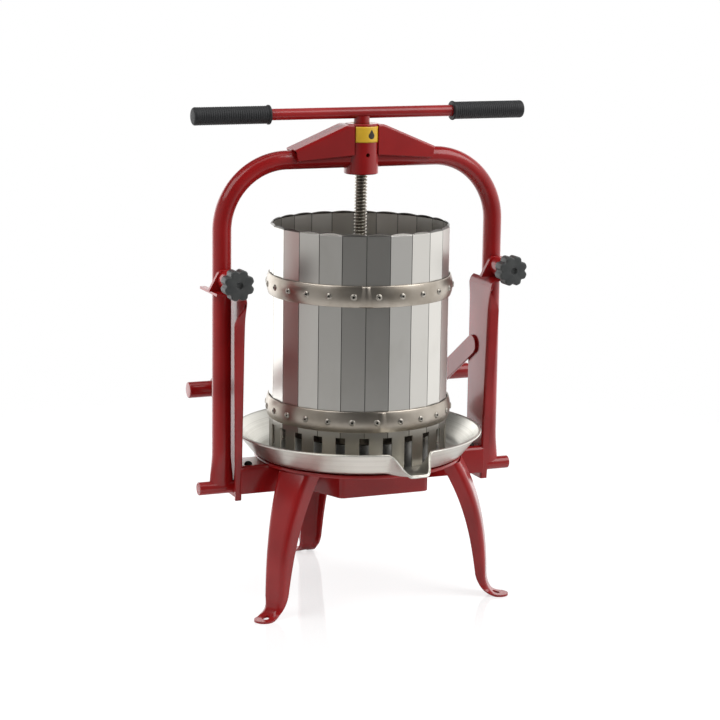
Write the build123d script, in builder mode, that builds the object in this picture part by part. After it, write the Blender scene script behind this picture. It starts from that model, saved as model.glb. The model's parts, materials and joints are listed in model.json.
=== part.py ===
"""Fruit press with a stave cage, a tilting yoke and a screw, in millimetres.

X runs along the yoke, the spout faces -Y and Z is up. The origin is on the floor under the cage axis.
Pieces that come in a left and a right one are modelled on the right and mirrored.
"""

import os
from math import cos, radians, sin, tan

from build123d import *

os.makedirs("parts", exist_ok=True)

# Fits
seat_gap = 0.1
parting_gap = 0.2
end_gap = 0.3
running_gap = 0.06
swing_gap = 1.0

# Legs and feet
leg_height = 172.0
leg_angles = {"leg_front_left": 210, "leg_front_right": 330, "leg_rear": 90}
leg_sheet = 2.5
leg_face_foot_radius = 165.5
leg_face_head_radius = 129.0
leg_face_bow = 2.8
leg_face_foot_width = 29.0
leg_face_head_width = 46.0
leg_width_bow = 1.9
leg_foot_depth = 6.5
leg_head_depth = 23.0
leg_depth_bow = 1.3
leg_draft = 3.0
leg_sections = 6
foot_bolt_reach = 11.5
foot_bolt_hole = 9.0
foot_width = 26.0
foot_thickness = 4.0

# Base frame
disc_radius = 128.0
disc_thickness = 4.0
disc_edge_round = 1.2
frame_height = 31.0
frame_bar = 5.0
frame_front_half = 57.0
frame_side_reach = 90.0
frame_front_reach = 87.0
frame_bend = 6.0
arm_width = 46.0
arm_sheet = 3.0
bolt_head_diameter = 10.0
bolt_head_height = 7.0
bolt_head_round = 2.0
bolt_inset = 11.0
bolt_offset = 14.0

# Uprights, with the saddle tongue that steadies the yoke tube
upright_x = 160.0
upright_sheet = 3.0
upright_width = 46.0
upright_top = 390.0
upright_foot_drop = 13.0
upright_bend = 13.0
front_flange_depth = 12.0
rear_flange_depth = 6.0
flange_taper = 28.0
tongue_reach = 24.5

# Tilt stops behind the uprights
stop_bar_width = 24.0
stop_bar_sheet = 3.0
stop_root_drop = 90.0
stop_root_y = 8.0
stop_peg_drop = 141.0
stop_peg_round = 1.2
stop_peg_y = 88.0
stop_peg_diameter = 20.0
stop_peg_length = 34.5

# Clamp lugs and star knobs
lug_height = 22.0
lug_foot_width = 46.0
lug_head_width = 19.0
lug_thickness = 6.0
lug_stand_off = 2.5
lug_round = 4.0
stud_diameter = 10.0
stud_height = 12.7
lug_boss_diameter = 24.0
lug_boss_length = 18.0
knob_neck_diameter = 23.0
knob_neck_length = 8.0
knob_diameter = 39.0
knob_lobes = 8
knob_valley_diameter = 8.0
knob_valley_depth = 3.2
knob_lobe_round = 2.2
knob_edge_round = 1.6
knob_depth = 18.0
knob_dimple_diameter = 9.0
knob_dimple_depth = 3.0

# Yoke
pivot_height = 145.6
pin_diameter = 10.0
sleeve_diameter = 16.0
sleeve_reach = 29.5
tube_x = 178.5
tube_diameter = 23.0
tube_wall = 2.0
tube_top_height = 541.0
tube_bend = 82.0
tube_foot_length = 40.0
tube_foot_width = 30.0
tube_foot_depth = 15.0
boss_diameter = 42.0
boss_drop = 19.0
boss_rise = 42.0
boss_edge_round = 1.5
oil_hole_diameter = 5.0
oil_hole_rise = 5.0
nut_diameter = 27.0
saddle_sheet = 2.5
saddle_shoulder = 28.0
saddle_toe = 93.0
saddle_heel = 88.0

# Screw and handle
spindle_diameter = 16.0
screw_tip_gap = 1.0
hub_diameter = 19.5
hub_height = 8.5
bar_diameter = 14.0
bar_rise = 12.3
bar_half_length = 212.0
grip_start = 119.0
grip_diameter = 21.5
grip_collar_diameter = 23.5
grip_collar_width = 3.0
grip_end_wall = 3.0
grip_ribs = 12
grip_rib_depth = 0.5
grip_rib_share = 0.6

# Press plate
plate_radius = 96.0
plate_sheet = 4.0
plate_rim_height = 10.0
plate_height = 27.0
rib_count = 6
rib_sheet = 4.0
rib_height = 9.0
rib_end_gap = 6.0
collar_diameter = 38.0
collar_height = 20.0
collar_round = 2.0

# Tray
tray_sheet = 1.8
tray_floor_radius = 128.0
tray_rim_radius = 152.0
tray_height = 30.0
tray_corner_round = 9.0
tray_bead_diameter = 3.0
spout_reach = 24.0
spout_root_width = 66.0
spout_root_floor_width = 30.0
spout_lip_width = 44.0
spout_lip_floor_width = 13.0
spout_root_rise = 0.8
spout_lip_rise = 1.0
spout_lip_height = 8.0
spout_root_setback = 20.0
spout_floor_round = 6.0
spout_lip_round = 3.0
spout_crest = 1.0

# Cage
stave_count = 24
cage_radius = 110.0
first_stave_angle = -101.15
stave_sheet = 1.5
stave_gap = 0.4
stave_height = 282.0
drain_width = 11.7
drain_height = 39.0
drain_round = 4.0
lip_height = 3.2
lip_lean = 35.0
hoop_height = 25.5
hoop_sheet = 1.5
hoop_crown = 2.5
hoop_rises = {"hoop_lower": 59.0, "hoop_upper": 210.5}
rivet_head_diameter = 8.5
rivet_head_height = 1.6

# Heights and places that follow from the sizes above
foot_bolt_circle_radius = leg_face_foot_radius + foot_bolt_reach
frame_floor = leg_height - frame_height
frame_top = leg_height - seat_gap
disc_top = leg_height + disc_thickness
tray_bottom = disc_top + seat_gap
tray_floor = tray_bottom + tray_sheet
tray_rim_height = tray_bottom + tray_height
cage_floor = tray_floor + parting_gap
mid_bend = radians(45)
tube_radius = tube_diameter / 2
pin_radius = pin_diameter / 2
sleeve_radius = sleeve_diameter / 2
spindle_radius = spindle_diameter / 2
upright_face = upright_x + upright_sheet
upright_foot = pivot_height - upright_foot_drop
boss_bottom = tube_top_height - boss_drop
boss_top = tube_top_height + boss_rise
plate_bottom = tray_floor + plate_height
plate_top = plate_bottom + plate_sheet
hub_bottom = boss_top + parting_gap
bar_height = hub_bottom + bar_rise
stave_step = 360 / stave_count
stave_angles = [first_stave_angle + number * stave_step for number in range(stave_count)]
stave_face = cage_radius * cos(radians(stave_step / 2))
stave_width = 2 * cage_radius * sin(radians(stave_step / 2)) - stave_gap


def write(piece, name):
    """Label a piece and write it as its own file."""
    piece.part.label = name
    export_step(piece.part, f"parts/{name}.step")


def write_pair(right, name):
    """Write a right-hand piece and its mirror image."""
    write(right, f"{name}_right")
    with BuildPart() as left:
        mirror(right.part, about=Plane.YZ)
    write(left, f"{name}_left")


def turned(angle, height=0.0):
    """A level plane at a height, with its own x axis pointing outwards at an angle."""
    outwards = (cos(radians(angle)), sin(radians(angle)), 0)
    return Plane(origin=(0, 0, height), x_dir=outwards, z_dir=(0, 0, 1))


# Pressed legs: a channel that grows from a flat bolted foot to a wide, deep head under the disc
def leg_section(share, inset):
    """Corners of the channel's section at a share of its height, set in from the outer skin."""
    face = leg_face_foot_radius + (leg_face_head_radius - leg_face_foot_radius) * share**leg_face_bow
    width = leg_face_foot_width + (leg_face_head_width - leg_face_foot_width) * share**leg_width_bow
    depth = leg_foot_depth + (leg_head_depth - leg_foot_depth) * share**leg_depth_bow
    face_half = width / 2 - inset
    mouth_half = face_half + leg_draft * share
    return [
        (face - inset, -face_half),
        (face - inset, face_half),
        (face - depth - inset, mouth_half),
        (face - depth - inset, -mouth_half),
    ]


leg_shares = [step / (leg_sections - 1) for step in range(leg_sections)]
leg_channel_height = leg_height - seat_gap
for leg_name, leg_angle in leg_angles.items():
    with BuildPart() as leg:
        for share in leg_shares:
            with BuildSketch(turned(leg_angle, share * leg_channel_height)):
                Polygon(*leg_section(share, 0), align=None)
        loft()
        for share in leg_shares:
            with BuildSketch(turned(leg_angle, share * leg_channel_height)):
                Polygon(*leg_section(share, leg_sheet), align=None)
        loft(mode=Mode.SUBTRACT)
        with BuildSketch(turned(leg_angle)):
            with BuildLine():
                heel = leg_face_foot_radius - leg_foot_depth
                toe = foot_bolt_circle_radius
                foot_half = foot_width / 2
                Polyline((toe, -foot_half), (heel, -foot_half), (heel, foot_half), (toe, foot_half))
                ThreePointArc((toe, foot_half), (toe + foot_half, 0), (toe, -foot_half))
            make_face()
        extrude(amount=foot_thickness)
        with BuildSketch(turned(leg_angle)):
            with Locations((foot_bolt_circle_radius, 0)):
                Circle(foot_bolt_hole / 2)
        extrude(amount=foot_thickness, mode=Mode.SUBTRACT)
    write(leg, leg_name)

# Base frame: a disc on a bent six-sided bar, with two arms out to the uprights
frame_corners = [
    (-frame_front_half, -frame_front_reach),
    (frame_front_half, -frame_front_reach),
    (frame_side_reach, 0),
    (frame_front_half, frame_front_reach),
    (-frame_front_half, frame_front_reach),
    (-frame_side_reach, 0),
]
with BuildPart() as base_disc:
    with BuildSketch(Plane.XY.offset(leg_height)):
        Circle(disc_radius)
    extrude(amount=disc_thickness)
    fillet(base_disc.edges(), disc_edge_round)
write(base_disc, "base_disc")

with BuildPart() as hex_frame:
    with BuildSketch(Plane.XY.offset(frame_floor)) as bar_plan:
        Polygon(*frame_corners, align=None)
        fillet(bar_plan.vertices(), frame_bend)
        offset(amount=-frame_bar, mode=Mode.SUBTRACT)
    extrude(amount=frame_top - frame_floor)
write(hex_frame, "hex_frame")

arm_root = frame_front_half
arm_end = upright_x - seat_gap
with BuildPart() as arm:
    with BuildSketch(Plane.YZ.offset(arm_root)):
        with Locations((0, (frame_top + frame_floor) / 2)):
            Rectangle(arm_width, frame_top - frame_floor)
        with Locations((0, (frame_top + frame_floor) / 2 - arm_sheet)):
            Rectangle(arm_width - 2 * arm_sheet, frame_top - frame_floor, mode=Mode.SUBTRACT)
    extrude(amount=arm_end - arm_root)
    with BuildSketch(Plane.XY.offset(frame_floor)) as cope:
        Polygon(*frame_corners, align=None)
        fillet(cope.vertices(), frame_bend)
        offset(amount=seat_gap)
    extrude(amount=frame_height, mode=Mode.SUBTRACT)
write_pair(arm, "frame_arm")

with BuildPart() as arm_bolts:
    bolt_x = upright_x - bolt_inset
    with BuildSketch(Plane.XY.offset(leg_height)):
        with Locations((bolt_x, -bolt_offset), (-bolt_x, -bolt_offset)):
            Circle(bolt_head_diameter / 2)
    extrude(amount=bolt_head_height)
    fillet(arm_bolts.faces().sort_by(Axis.Z)[-2:].edges(), bolt_head_round)
write(arm_bolts, "arm_bolts")

# Uprights: a folded channel whose web turns outwards at the top into a notched tongue
web_top = upright_top - upright_bend
tongue_end = tube_x + tongue_reach
notch_half = tube_radius + swing_gap
with BuildPart() as upright:
    with BuildSketch(Plane.XZ):
        with BuildLine():
            outer_mid = upright_bend * (1 - cos(mid_bend))
            inner_bend = upright_bend - upright_sheet
            inner_mid = upright_sheet + inner_bend * (1 - cos(mid_bend))
            bend_x = upright_x + upright_bend
            Line((upright_x, upright_foot), (upright_x, web_top))
            ThreePointArc(
                (upright_x, web_top),
                (upright_x + outer_mid, upright_top - outer_mid),
                (bend_x, upright_top),
            )
            Polyline(
                (bend_x, upright_top),
                (tongue_end, upright_top),
                (tongue_end, upright_top - upright_sheet),
                (bend_x, upright_top - upright_sheet),
            )
            ThreePointArc(
                (bend_x, upright_top - upright_sheet),
                (upright_x + inner_mid, upright_top - inner_mid),
                (upright_face, web_top),
            )
            Polyline((upright_face, web_top), (upright_face, upright_foot), (upright_x, upright_foot))
        make_face()
    extrude(amount=upright_width / 2, both=True)
    with BuildSketch(Plane.XZ.offset(upright_width / 2)):
        Polygon(
            (upright_x, upright_foot),
            (upright_x + front_flange_depth, upright_foot),
            (upright_x + front_flange_depth, web_top - flange_taper),
            (upright_face, web_top),
            (upright_x, web_top),
            align=None,
        )
    extrude(amount=-upright_sheet)
    with BuildSketch(Plane.XZ.offset(-upright_width / 2)):
        Polygon(
            (upright_x, upright_foot),
            (upright_x + rear_flange_depth, upright_foot),
            (upright_x + rear_flange_depth, web_top - flange_taper),
            (upright_face, web_top),
            (upright_x, web_top),
            align=None,
        )
    extrude(amount=upright_sheet)
    with BuildSketch(Plane.XY.offset(web_top)):
        with Locations((tube_x, 0)):
            Circle(notch_half)
        with Locations((tube_x, upright_width / 2)):
            Rectangle(2 * notch_half, upright_width)
    extrude(amount=upright_bend, mode=Mode.SUBTRACT)
    with BuildSketch(Plane.YZ.offset(upright_x)):
        with Locations((0, pivot_height)):
            Circle(pin_radius + seat_gap)
    extrude(amount=upright_sheet, mode=Mode.SUBTRACT)
write_pair(upright, "upright")

# Tilt stops: a sloping flat bar on the back of each upright, with a round peg through its end
stop_outer = upright_x - seat_gap
stop_inner = stop_outer - stop_bar_sheet
peg_height = upright_top - stop_peg_drop
root_height = upright_top - stop_root_drop
with BuildPart() as tilt_stop:
    with BuildSketch(Plane.YZ.offset(stop_inner)):
        middle = ((stop_root_y + stop_peg_y) / 2, (root_height + peg_height) / 2)
        SlotCenterPoint(middle, (stop_peg_y, peg_height), stop_bar_width)
    extrude(amount=stop_bar_sheet)
    with BuildSketch(Plane.YZ.offset(stop_inner)):
        with Locations((stop_peg_y, peg_height)):
            Circle(stop_peg_diameter / 2)
    extrude(amount=stop_peg_length)
    fillet(tilt_stop.faces().sort_by(Axis.X)[-1].edges(), stop_peg_round)
write_pair(tilt_stop, "tilt_stop")

# Clamp lugs: a tapered plate on each tongue with a threaded boss in front
lug_back = tube_radius + lug_stand_off
lug_front = lug_back + lug_thickness
lug_foot = upright_top + seat_gap
stud_z = upright_top + stud_height
with BuildPart() as clamp_lug:
    with BuildSketch(Plane.XZ.offset(lug_back)) as lug_plan:
        Polygon(
            (tube_x - lug_foot_width / 2, lug_foot),
            (tube_x + lug_foot_width / 2, lug_foot),
            (tube_x + lug_head_width / 2, lug_foot + lug_height),
            (tube_x - lug_head_width / 2, lug_foot + lug_height),
            align=None,
        )
        fillet(lug_plan.vertices().group_by(Axis.Y)[-1], lug_round)
    extrude(amount=lug_thickness)
    with BuildSketch(Plane.XZ.offset(lug_front)):
        with Locations((tube_x, stud_z)):
            Circle(lug_boss_diameter / 2)
    extrude(amount=lug_boss_length)
    with BuildSketch(Plane.XZ.offset(lug_back)):
        with Locations((tube_x, stud_z)):
            Circle(stud_diameter / 2 + running_gap)
    extrude(amount=lug_thickness + lug_boss_length, mode=Mode.SUBTRACT)
write_pair(clamp_lug, "clamp_lug")

neck_start = lug_front + lug_boss_length + parting_gap
knob_start = neck_start + knob_neck_length
stud_start = tube_radius + end_gap
valley_circle = knob_diameter / 2 - knob_valley_depth + knob_valley_diameter / 2


def across_stud(distance):
    """A plane across the right-hand clamp stud, this far in front of the tube's axis."""
    return Plane(origin=(tube_x, -distance, stud_z), x_dir=(1, 0, 0), z_dir=(0, -1, 0))


with BuildPart() as knob:
    with BuildSketch(across_stud(knob_start)) as star:
        Circle(knob_diameter / 2)
        with PolarLocations(valley_circle, knob_lobes):
            Circle(knob_valley_diameter / 2, mode=Mode.SUBTRACT)
        fillet(star.vertices(), knob_lobe_round)
    extrude(amount=knob_depth)
    fillet(knob.faces().sort_by(Axis.Y)[0].edges(), knob_edge_round)
    with BuildSketch(across_stud(neck_start)):
        Circle(knob_neck_diameter / 2)
    extrude(amount=knob_neck_length)
    with BuildSketch(across_stud(knob_start + knob_depth)):
        Circle(knob_dimple_diameter / 2)
    extrude(amount=-knob_dimple_depth, mode=Mode.SUBTRACT)
    with BuildSketch(across_stud(stud_start)):
        Circle(stud_diameter / 2)
    extrude(amount=neck_start - stud_start)
write_pair(knob, "knob")

# Yoke: two bent tubes that meet at the boss and turn on pins at the uprights
pivot_end = tube_x + sleeve_reach
with BuildPart() as pivot_pins:
    with BuildSketch(Plane.YZ.offset(upright_x)):
        with Locations((0, pivot_height)):
            Circle(pin_radius)
    extrude(amount=pivot_end - upright_x)
    mirror(about=Plane.YZ)
write(pivot_pins, "pivot_pins")

sleeve_start = upright_face + end_gap
with BuildPart() as sleeve:
    with BuildSketch(Plane.YZ.offset(sleeve_start)):
        with Locations((0, pivot_height)):
            Circle(sleeve_radius)
            Circle(pin_radius + running_gap, mode=Mode.SUBTRACT)
    extrude(amount=pivot_end - sleeve_start)
write_pair(sleeve, "pivot_sleeve")

tube_foot_top = pivot_height + sleeve_radius + tube_foot_length
bend_start = tube_top_height - tube_bend
bend_end = tube_x - tube_bend
with BuildPart() as yoke_tube:
    with BuildLine(Plane.XZ) as tube_path:
        Line((tube_x, tube_foot_top), (tube_x, bend_start))
        ThreePointArc(
            (tube_x, bend_start),
            (bend_end + tube_bend * cos(mid_bend), bend_start + tube_bend * sin(mid_bend)),
            (bend_end, tube_top_height),
        )
        Line((bend_end, tube_top_height), (0, tube_top_height))
    with BuildSketch(Plane.XY.offset(tube_foot_top)):
        with Locations((tube_x, 0)):
            Circle(tube_radius)
            Circle(tube_radius - tube_wall, mode=Mode.SUBTRACT)
    sweep(path=tube_path.wire())
    with BuildSketch(Plane.XY.offset(tube_foot_top)):
        with Locations((tube_x, 0)):
            Circle(tube_radius)
    with BuildSketch(Plane.XY.offset(pivot_height)):
        with Locations((tube_x, 0)):
            Ellipse(tube_foot_width / 2, tube_foot_depth / 2)
    loft()
    with BuildSketch(Plane.YZ.offset(tube_x - tube_foot_width)):
        with Locations((0, pivot_height)):
            Circle(sleeve_radius + seat_gap)
    extrude(amount=2 * tube_foot_width, mode=Mode.SUBTRACT)
    with BuildSketch(Plane.XY.offset(boss_bottom)):
        Circle(boss_diameter / 2 + seat_gap)
    extrude(amount=boss_top - boss_bottom, mode=Mode.SUBTRACT)
    split(bisect_by=Plane.YZ, keep=Keep.TOP)
write_pair(yoke_tube, "yoke_tube")

with BuildPart() as screw_boss:
    with BuildSketch(Plane.XY.offset(boss_bottom)):
        Circle(boss_diameter / 2)
    extrude(amount=boss_top - boss_bottom)
    fillet(screw_boss.edges(), boss_edge_round)
    with BuildSketch(Plane.XY.offset(boss_bottom)):
        Circle(nut_diameter / 2 + seat_gap)
    extrude(amount=boss_top - boss_bottom, mode=Mode.SUBTRACT)
    with BuildSketch(Plane.XZ):
        with Locations((0, tube_top_height + oil_hole_rise)):
            Circle(oil_hole_diameter / 2)
    extrude(amount=boss_diameter, mode=Mode.SUBTRACT)
write(screw_boss, "screw_boss")

with BuildPart() as screw_nut:
    with BuildSketch(Plane.XY.offset(boss_bottom)):
        Circle(nut_diameter / 2)
        Circle(spindle_radius + running_gap, mode=Mode.SUBTRACT)
    extrude(amount=boss_top - boss_bottom)
write(screw_nut, "screw_nut")

# Saddles: folded hoods that brace the boss on the tube
toe_height = tube_top_height + tube_radius + seat_gap + saddle_sheet
cheek_inner = tube_radius + seat_gap
with BuildPart() as saddle:
    with BuildSketch(Plane.XZ):
        Polygon(
            (0, tube_top_height),
            (saddle_heel, tube_top_height),
            (saddle_toe, toe_height),
            (saddle_shoulder, boss_top),
            (0, boss_top),
            align=None,
        )
    extrude(amount=cheek_inner + saddle_sheet, both=True)
    with BuildSketch(Plane.XZ):
        Polygon(
            (0, tube_top_height),
            (saddle_toe, tube_top_height),
            (saddle_toe, toe_height - saddle_sheet),
            (saddle_shoulder, boss_top - saddle_sheet),
            (0, boss_top - saddle_sheet),
            align=None,
        )
    extrude(amount=cheek_inner, both=True, mode=Mode.SUBTRACT)
    with BuildSketch(Plane.XY.offset(boss_bottom)):
        Circle(boss_diameter / 2 + seat_gap)
    extrude(amount=boss_top - boss_bottom, mode=Mode.SUBTRACT)
write_pair(saddle, "saddle")

# Screw: a spindle in a short hub coped to a cross bar with ribbed grips
spindle_tip = plate_top + screw_tip_gap
spindle_head = bar_height - bar_diameter / 2 - screw_tip_gap
with BuildPart() as spindle:
    with BuildSketch(Plane.XY.offset(spindle_tip)):
        Circle(spindle_radius)
    extrude(amount=spindle_head - spindle_tip)
write(spindle, "spindle")

with BuildPart() as screw_hub:
    with BuildSketch(Plane.XY.offset(hub_bottom)):
        Circle(hub_diameter / 2)
    extrude(amount=hub_height)
    with BuildSketch(Plane.XY.offset(hub_bottom)):
        Circle(spindle_radius + seat_gap)
    extrude(amount=spindle_head - hub_bottom, mode=Mode.SUBTRACT)
    with BuildSketch(Plane.YZ):
        with Locations((0, bar_height)):
            Circle(bar_diameter / 2 + seat_gap)
    extrude(amount=hub_diameter, both=True, mode=Mode.SUBTRACT)
write(screw_hub, "screw_hub")

with BuildPart() as handle_bar:
    with BuildSketch(Plane.YZ):
        with Locations((0, bar_height)):
            Circle(bar_diameter / 2)
    extrude(amount=bar_half_length, both=True)
write(handle_bar, "handle_bar")

grip_end = bar_half_length + seat_gap + grip_end_wall
rib_run = grip_end - grip_start - 2 * grip_collar_width
rib_pitch = rib_run / grip_ribs
first_rib = grip_start + grip_collar_width + (1 - grip_rib_share) * rib_pitch
with BuildPart() as grip:
    with BuildSketch(Plane.YZ.offset(grip_start)):
        with Locations((0, bar_height)):
            Circle(grip_collar_diameter / 2)
    extrude(amount=grip_collar_width)
    with BuildSketch(Plane.YZ.offset(grip_start)):
        with Locations((0, bar_height)):
            Circle(grip_diameter / 2 - grip_rib_depth)
    extrude(amount=grip_end - grip_start)
    for rib in range(grip_ribs):
        rib_start = first_rib + rib * rib_pitch
        with BuildSketch(Plane.YZ.offset(rib_start)):
            with Locations((0, bar_height)):
                Circle(grip_diameter / 2)
        extrude(amount=rib_pitch * grip_rib_share)
    with BuildSketch(Plane.YZ.offset(grip_start)):
        with Locations((0, bar_height)):
            Circle(bar_diameter / 2 + seat_gap)
    extrude(amount=bar_half_length + seat_gap - grip_start, mode=Mode.SUBTRACT)
write_pair(grip, "grip")

# Press plate: a pan with an upturned rim and radial ribs, hung from the spindle by a swivel collar
with BuildPart() as press_plate:
    with BuildSketch(Plane.XY.offset(plate_bottom)):
        Circle(plate_radius)
    extrude(amount=plate_rim_height)
    fillet(press_plate.faces().sort_by(Axis.Z)[0].edges(), plate_sheet)
    with BuildSketch(Plane.XY.offset(plate_top)):
        Circle(plate_radius - plate_sheet)
    extrude(amount=plate_rim_height, mode=Mode.SUBTRACT)
    rib_root = collar_diameter / 2 + seat_gap
    rib_tip = plate_radius - plate_sheet - rib_end_gap
    with BuildSketch(Plane.XY.offset(plate_top)):
        with PolarLocations((rib_root + rib_tip) / 2, rib_count):
            Rectangle(rib_tip - rib_root, rib_sheet)
    extrude(amount=rib_height)
write(press_plate, "press_plate")

with BuildPart() as plate_collar:
    with BuildSketch(Plane.XY.offset(plate_top + seat_gap)):
        Circle(collar_diameter / 2)
    extrude(amount=collar_height)
    fillet(plate_collar.faces().sort_by(Axis.Z)[-1].edges(), collar_round)
    with BuildSketch(Plane.XY.offset(plate_top)):
        Circle(spindle_radius + running_gap)
    extrude(amount=collar_height + collar_round, mode=Mode.SUBTRACT)
write(plate_collar, "plate_collar")

# Tray: a flared dish with a beaded rim, drawn out at the front into a spout
spout_root_y = tray_floor_radius - spout_root_setback
spout_tip_y = tray_rim_radius + spout_reach
lip_top = tray_bottom + spout_lip_rise + spout_lip_height


def dish(inset):
    """Half profile of the dish, from its axis to its rim, set in from the outer skin."""
    rim = tray_rim_height + (tray_bead_diameter if inset else 0)
    slope = (tray_rim_radius - tray_floor_radius) / tray_height
    wall = tray_floor_radius + slope * inset - inset * (1 + slope**2) ** 0.5
    rim_radius = wall + slope * (rim - tray_bottom - inset)
    return [(0, tray_bottom + inset), (wall, tray_bottom + inset), (rim_radius, rim), (0, rim)]


def spout_section(width, floor_width, floor, inset):
    """Corners of the spout's trough, set in from the outer skin."""
    top = tray_rim_height + (tray_bead_diameter if inset else spout_crest)
    return [
        (-width / 2 + inset, top),
        (-floor_width / 2 + inset, floor + inset),
        (floor_width / 2 - inset, floor + inset),
        (width / 2 - inset, top),
    ]


with BuildPart() as tray:
    root_floor = tray_bottom + spout_root_rise
    tip_floor = tray_bottom + spout_lip_rise
    for inset, mode in ((0, Mode.ADD), (tray_sheet, Mode.SUBTRACT)):
        with BuildSketch(Plane.XZ) as dish_plan:
            Polygon(*dish(inset), align=None)
            corner = dish_plan.vertices().group_by(Axis.Y)[0].sort_by(Axis.X)[-1]
            fillet(corner, tray_corner_round - inset)
            if not inset:
                with Locations((tray_rim_radius, tray_rim_height)):
                    Circle(tray_bead_diameter / 2)
        revolve(axis=Axis.Z, mode=mode)
        with BuildSketch(Plane.XZ.offset(spout_root_y)) as root_plan:
            root_section = spout_section(spout_root_width, spout_root_floor_width, root_floor, inset)
            Polygon(*root_section, align=None)
            fillet(root_plan.vertices().group_by(Axis.Y)[0], spout_floor_round)
        with BuildSketch(Plane.XZ.offset(spout_tip_y + inset)) as tip_plan:
            tip_section = spout_section(spout_lip_width, spout_lip_floor_width, tip_floor, inset)
            Polygon(*tip_section, align=None)
            fillet(tip_plan.vertices().group_by(Axis.Y)[0], spout_lip_round)
        loft(mode=mode)
    with BuildSketch(Plane.YZ):
        Polygon(
            (-tray_rim_radius, tray_rim_height + tray_bead_diameter),
            (-tray_rim_radius, tray_rim_height),
            (-spout_tip_y, lip_top),
            (-spout_tip_y - spout_reach, lip_top),
            (-spout_tip_y - spout_reach, tray_rim_height + tray_bead_diameter),
            align=None,
        )
    extrude(amount=spout_root_width / 2, both=True, mode=Mode.SUBTRACT)
write(tray, "tray")

# Cage: flat staves with drain slots at their feet and an arched lip folded in, held by two crowned hoops
land_half = (stave_width - drain_width + stave_gap) / 2
stave_half = stave_width / 2
stave_back = stave_face - stave_sheet
lip_in = lip_height * sin(radians(lip_lean))
lip_up = lip_height * cos(radians(lip_lean))
sheet_in = stave_sheet * cos(radians(lip_lean))
sheet_down = stave_sheet * sin(radians(lip_lean))
stave_top = cage_floor + stave_height
fold_foot = stave_top - stave_sheet * tan(radians(lip_lean / 2))
drain_top = cage_floor + drain_height
for number, angle in enumerate(stave_angles, start=1):
    level = turned(angle)
    edge_on = Plane(origin=(0, 0, 0), x_dir=level.x_dir, z_dir=-level.y_dir)
    face_on = Plane(origin=(0, 0, 0), x_dir=level.y_dir, z_dir=level.x_dir)
    with BuildPart() as stave:
        with BuildSketch(edge_on):
            Polygon(
                (stave_face, cage_floor),
                (stave_face, stave_top),
                (stave_face - lip_in, stave_top + lip_up),
                (stave_face - lip_in - sheet_in, stave_top + lip_up - sheet_down),
                (stave_back, fold_foot),
                (stave_back, cage_floor),
                align=None,
            )
        extrude(amount=stave_half, both=True)
        with BuildSketch(face_on) as outline:
            with BuildLine():
                Polyline(
                    (-stave_half, fold_foot),
                    (-stave_half, drain_top),
                    (-land_half, drain_top),
                    (-land_half, cage_floor),
                    (land_half, cage_floor),
                    (land_half, drain_top),
                    (stave_half, drain_top),
                    (stave_half, fold_foot),
                )
                ThreePointArc((stave_half, fold_foot), (0, stave_top + lip_up), (-stave_half, fold_foot))
            make_face()
            fillet(outline.vertices().sort_by_distance((0, drain_top))[:2], drain_round)
        extrude(amount=cage_radius, mode=Mode.INTERSECT)
    write(stave, f"stave_{number:02d}")

hoop_inner = cage_radius + seat_gap
for hoop_name, hoop_rise in hoop_rises.items():
    with BuildPart() as hoop:
        with BuildSketch(Plane.XZ):
            low = cage_floor + hoop_rise - hoop_height / 2
            high = low + hoop_height
            middle = (low + high) / 2
            hoop_outer = hoop_inner + hoop_sheet
            with BuildLine():
                Line((hoop_outer, high), (hoop_inner, high))
                ThreePointArc((hoop_inner, high), (hoop_inner + hoop_crown, middle), (hoop_inner, low))
                Line((hoop_inner, low), (hoop_outer, low))
                ThreePointArc((hoop_outer, low), (hoop_outer + hoop_crown, middle), (hoop_outer, high))
            make_face()
        revolve(axis=Axis.Z)
    write(hoop, hoop_name)

rivet_seat = hoop_inner + hoop_sheet + hoop_crown + seat_gap
with BuildPart() as hoop_rivets:
    for hoop_rise in hoop_rises.values():
        for angle in stave_angles:
            level = turned(angle, cage_floor + hoop_rise)
            seat = level.from_local_coords((rivet_seat, 0, 0))
            with BuildSketch(Plane(origin=seat, x_dir=level.y_dir, z_dir=level.x_dir)):
                Circle(rivet_head_diameter / 2)
            extrude(amount=rivet_head_height)
write(hoop_rivets, "hoop_rivets")
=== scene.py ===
# %% [markdown]
# A fruit press with a stave cage
#
# The press stands on three pressed legs. A red tube yoke carries a screw over a round cage of steel
# staves, and the juice runs into a shallow tray with a spout. The packed CAD model is the frame: every
# piece made here takes its place from it, replaces a plain CAD node where the real piece has softer
# edges or finer detail, and rides on that node's body.

# %% Load the frame
import json

import bmesh
import bpy
import numpy as np
from mathutils import Matrix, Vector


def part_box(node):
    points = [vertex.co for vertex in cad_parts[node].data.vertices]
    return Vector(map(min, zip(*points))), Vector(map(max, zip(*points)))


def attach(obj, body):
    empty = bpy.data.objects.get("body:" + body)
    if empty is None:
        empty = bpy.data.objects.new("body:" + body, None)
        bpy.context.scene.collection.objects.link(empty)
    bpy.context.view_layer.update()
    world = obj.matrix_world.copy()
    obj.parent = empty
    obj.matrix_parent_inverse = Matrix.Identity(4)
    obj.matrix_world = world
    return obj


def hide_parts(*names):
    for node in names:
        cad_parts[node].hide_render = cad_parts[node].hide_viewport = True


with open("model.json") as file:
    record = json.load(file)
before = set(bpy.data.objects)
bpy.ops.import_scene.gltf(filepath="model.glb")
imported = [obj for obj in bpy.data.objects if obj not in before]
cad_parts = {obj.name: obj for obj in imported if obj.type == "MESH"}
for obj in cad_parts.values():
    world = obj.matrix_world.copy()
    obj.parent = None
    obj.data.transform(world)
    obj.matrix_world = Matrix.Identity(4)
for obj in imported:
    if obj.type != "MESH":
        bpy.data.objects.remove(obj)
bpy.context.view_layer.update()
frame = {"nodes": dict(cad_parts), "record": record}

MM = 0.001
TINY = 1e-6

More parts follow.
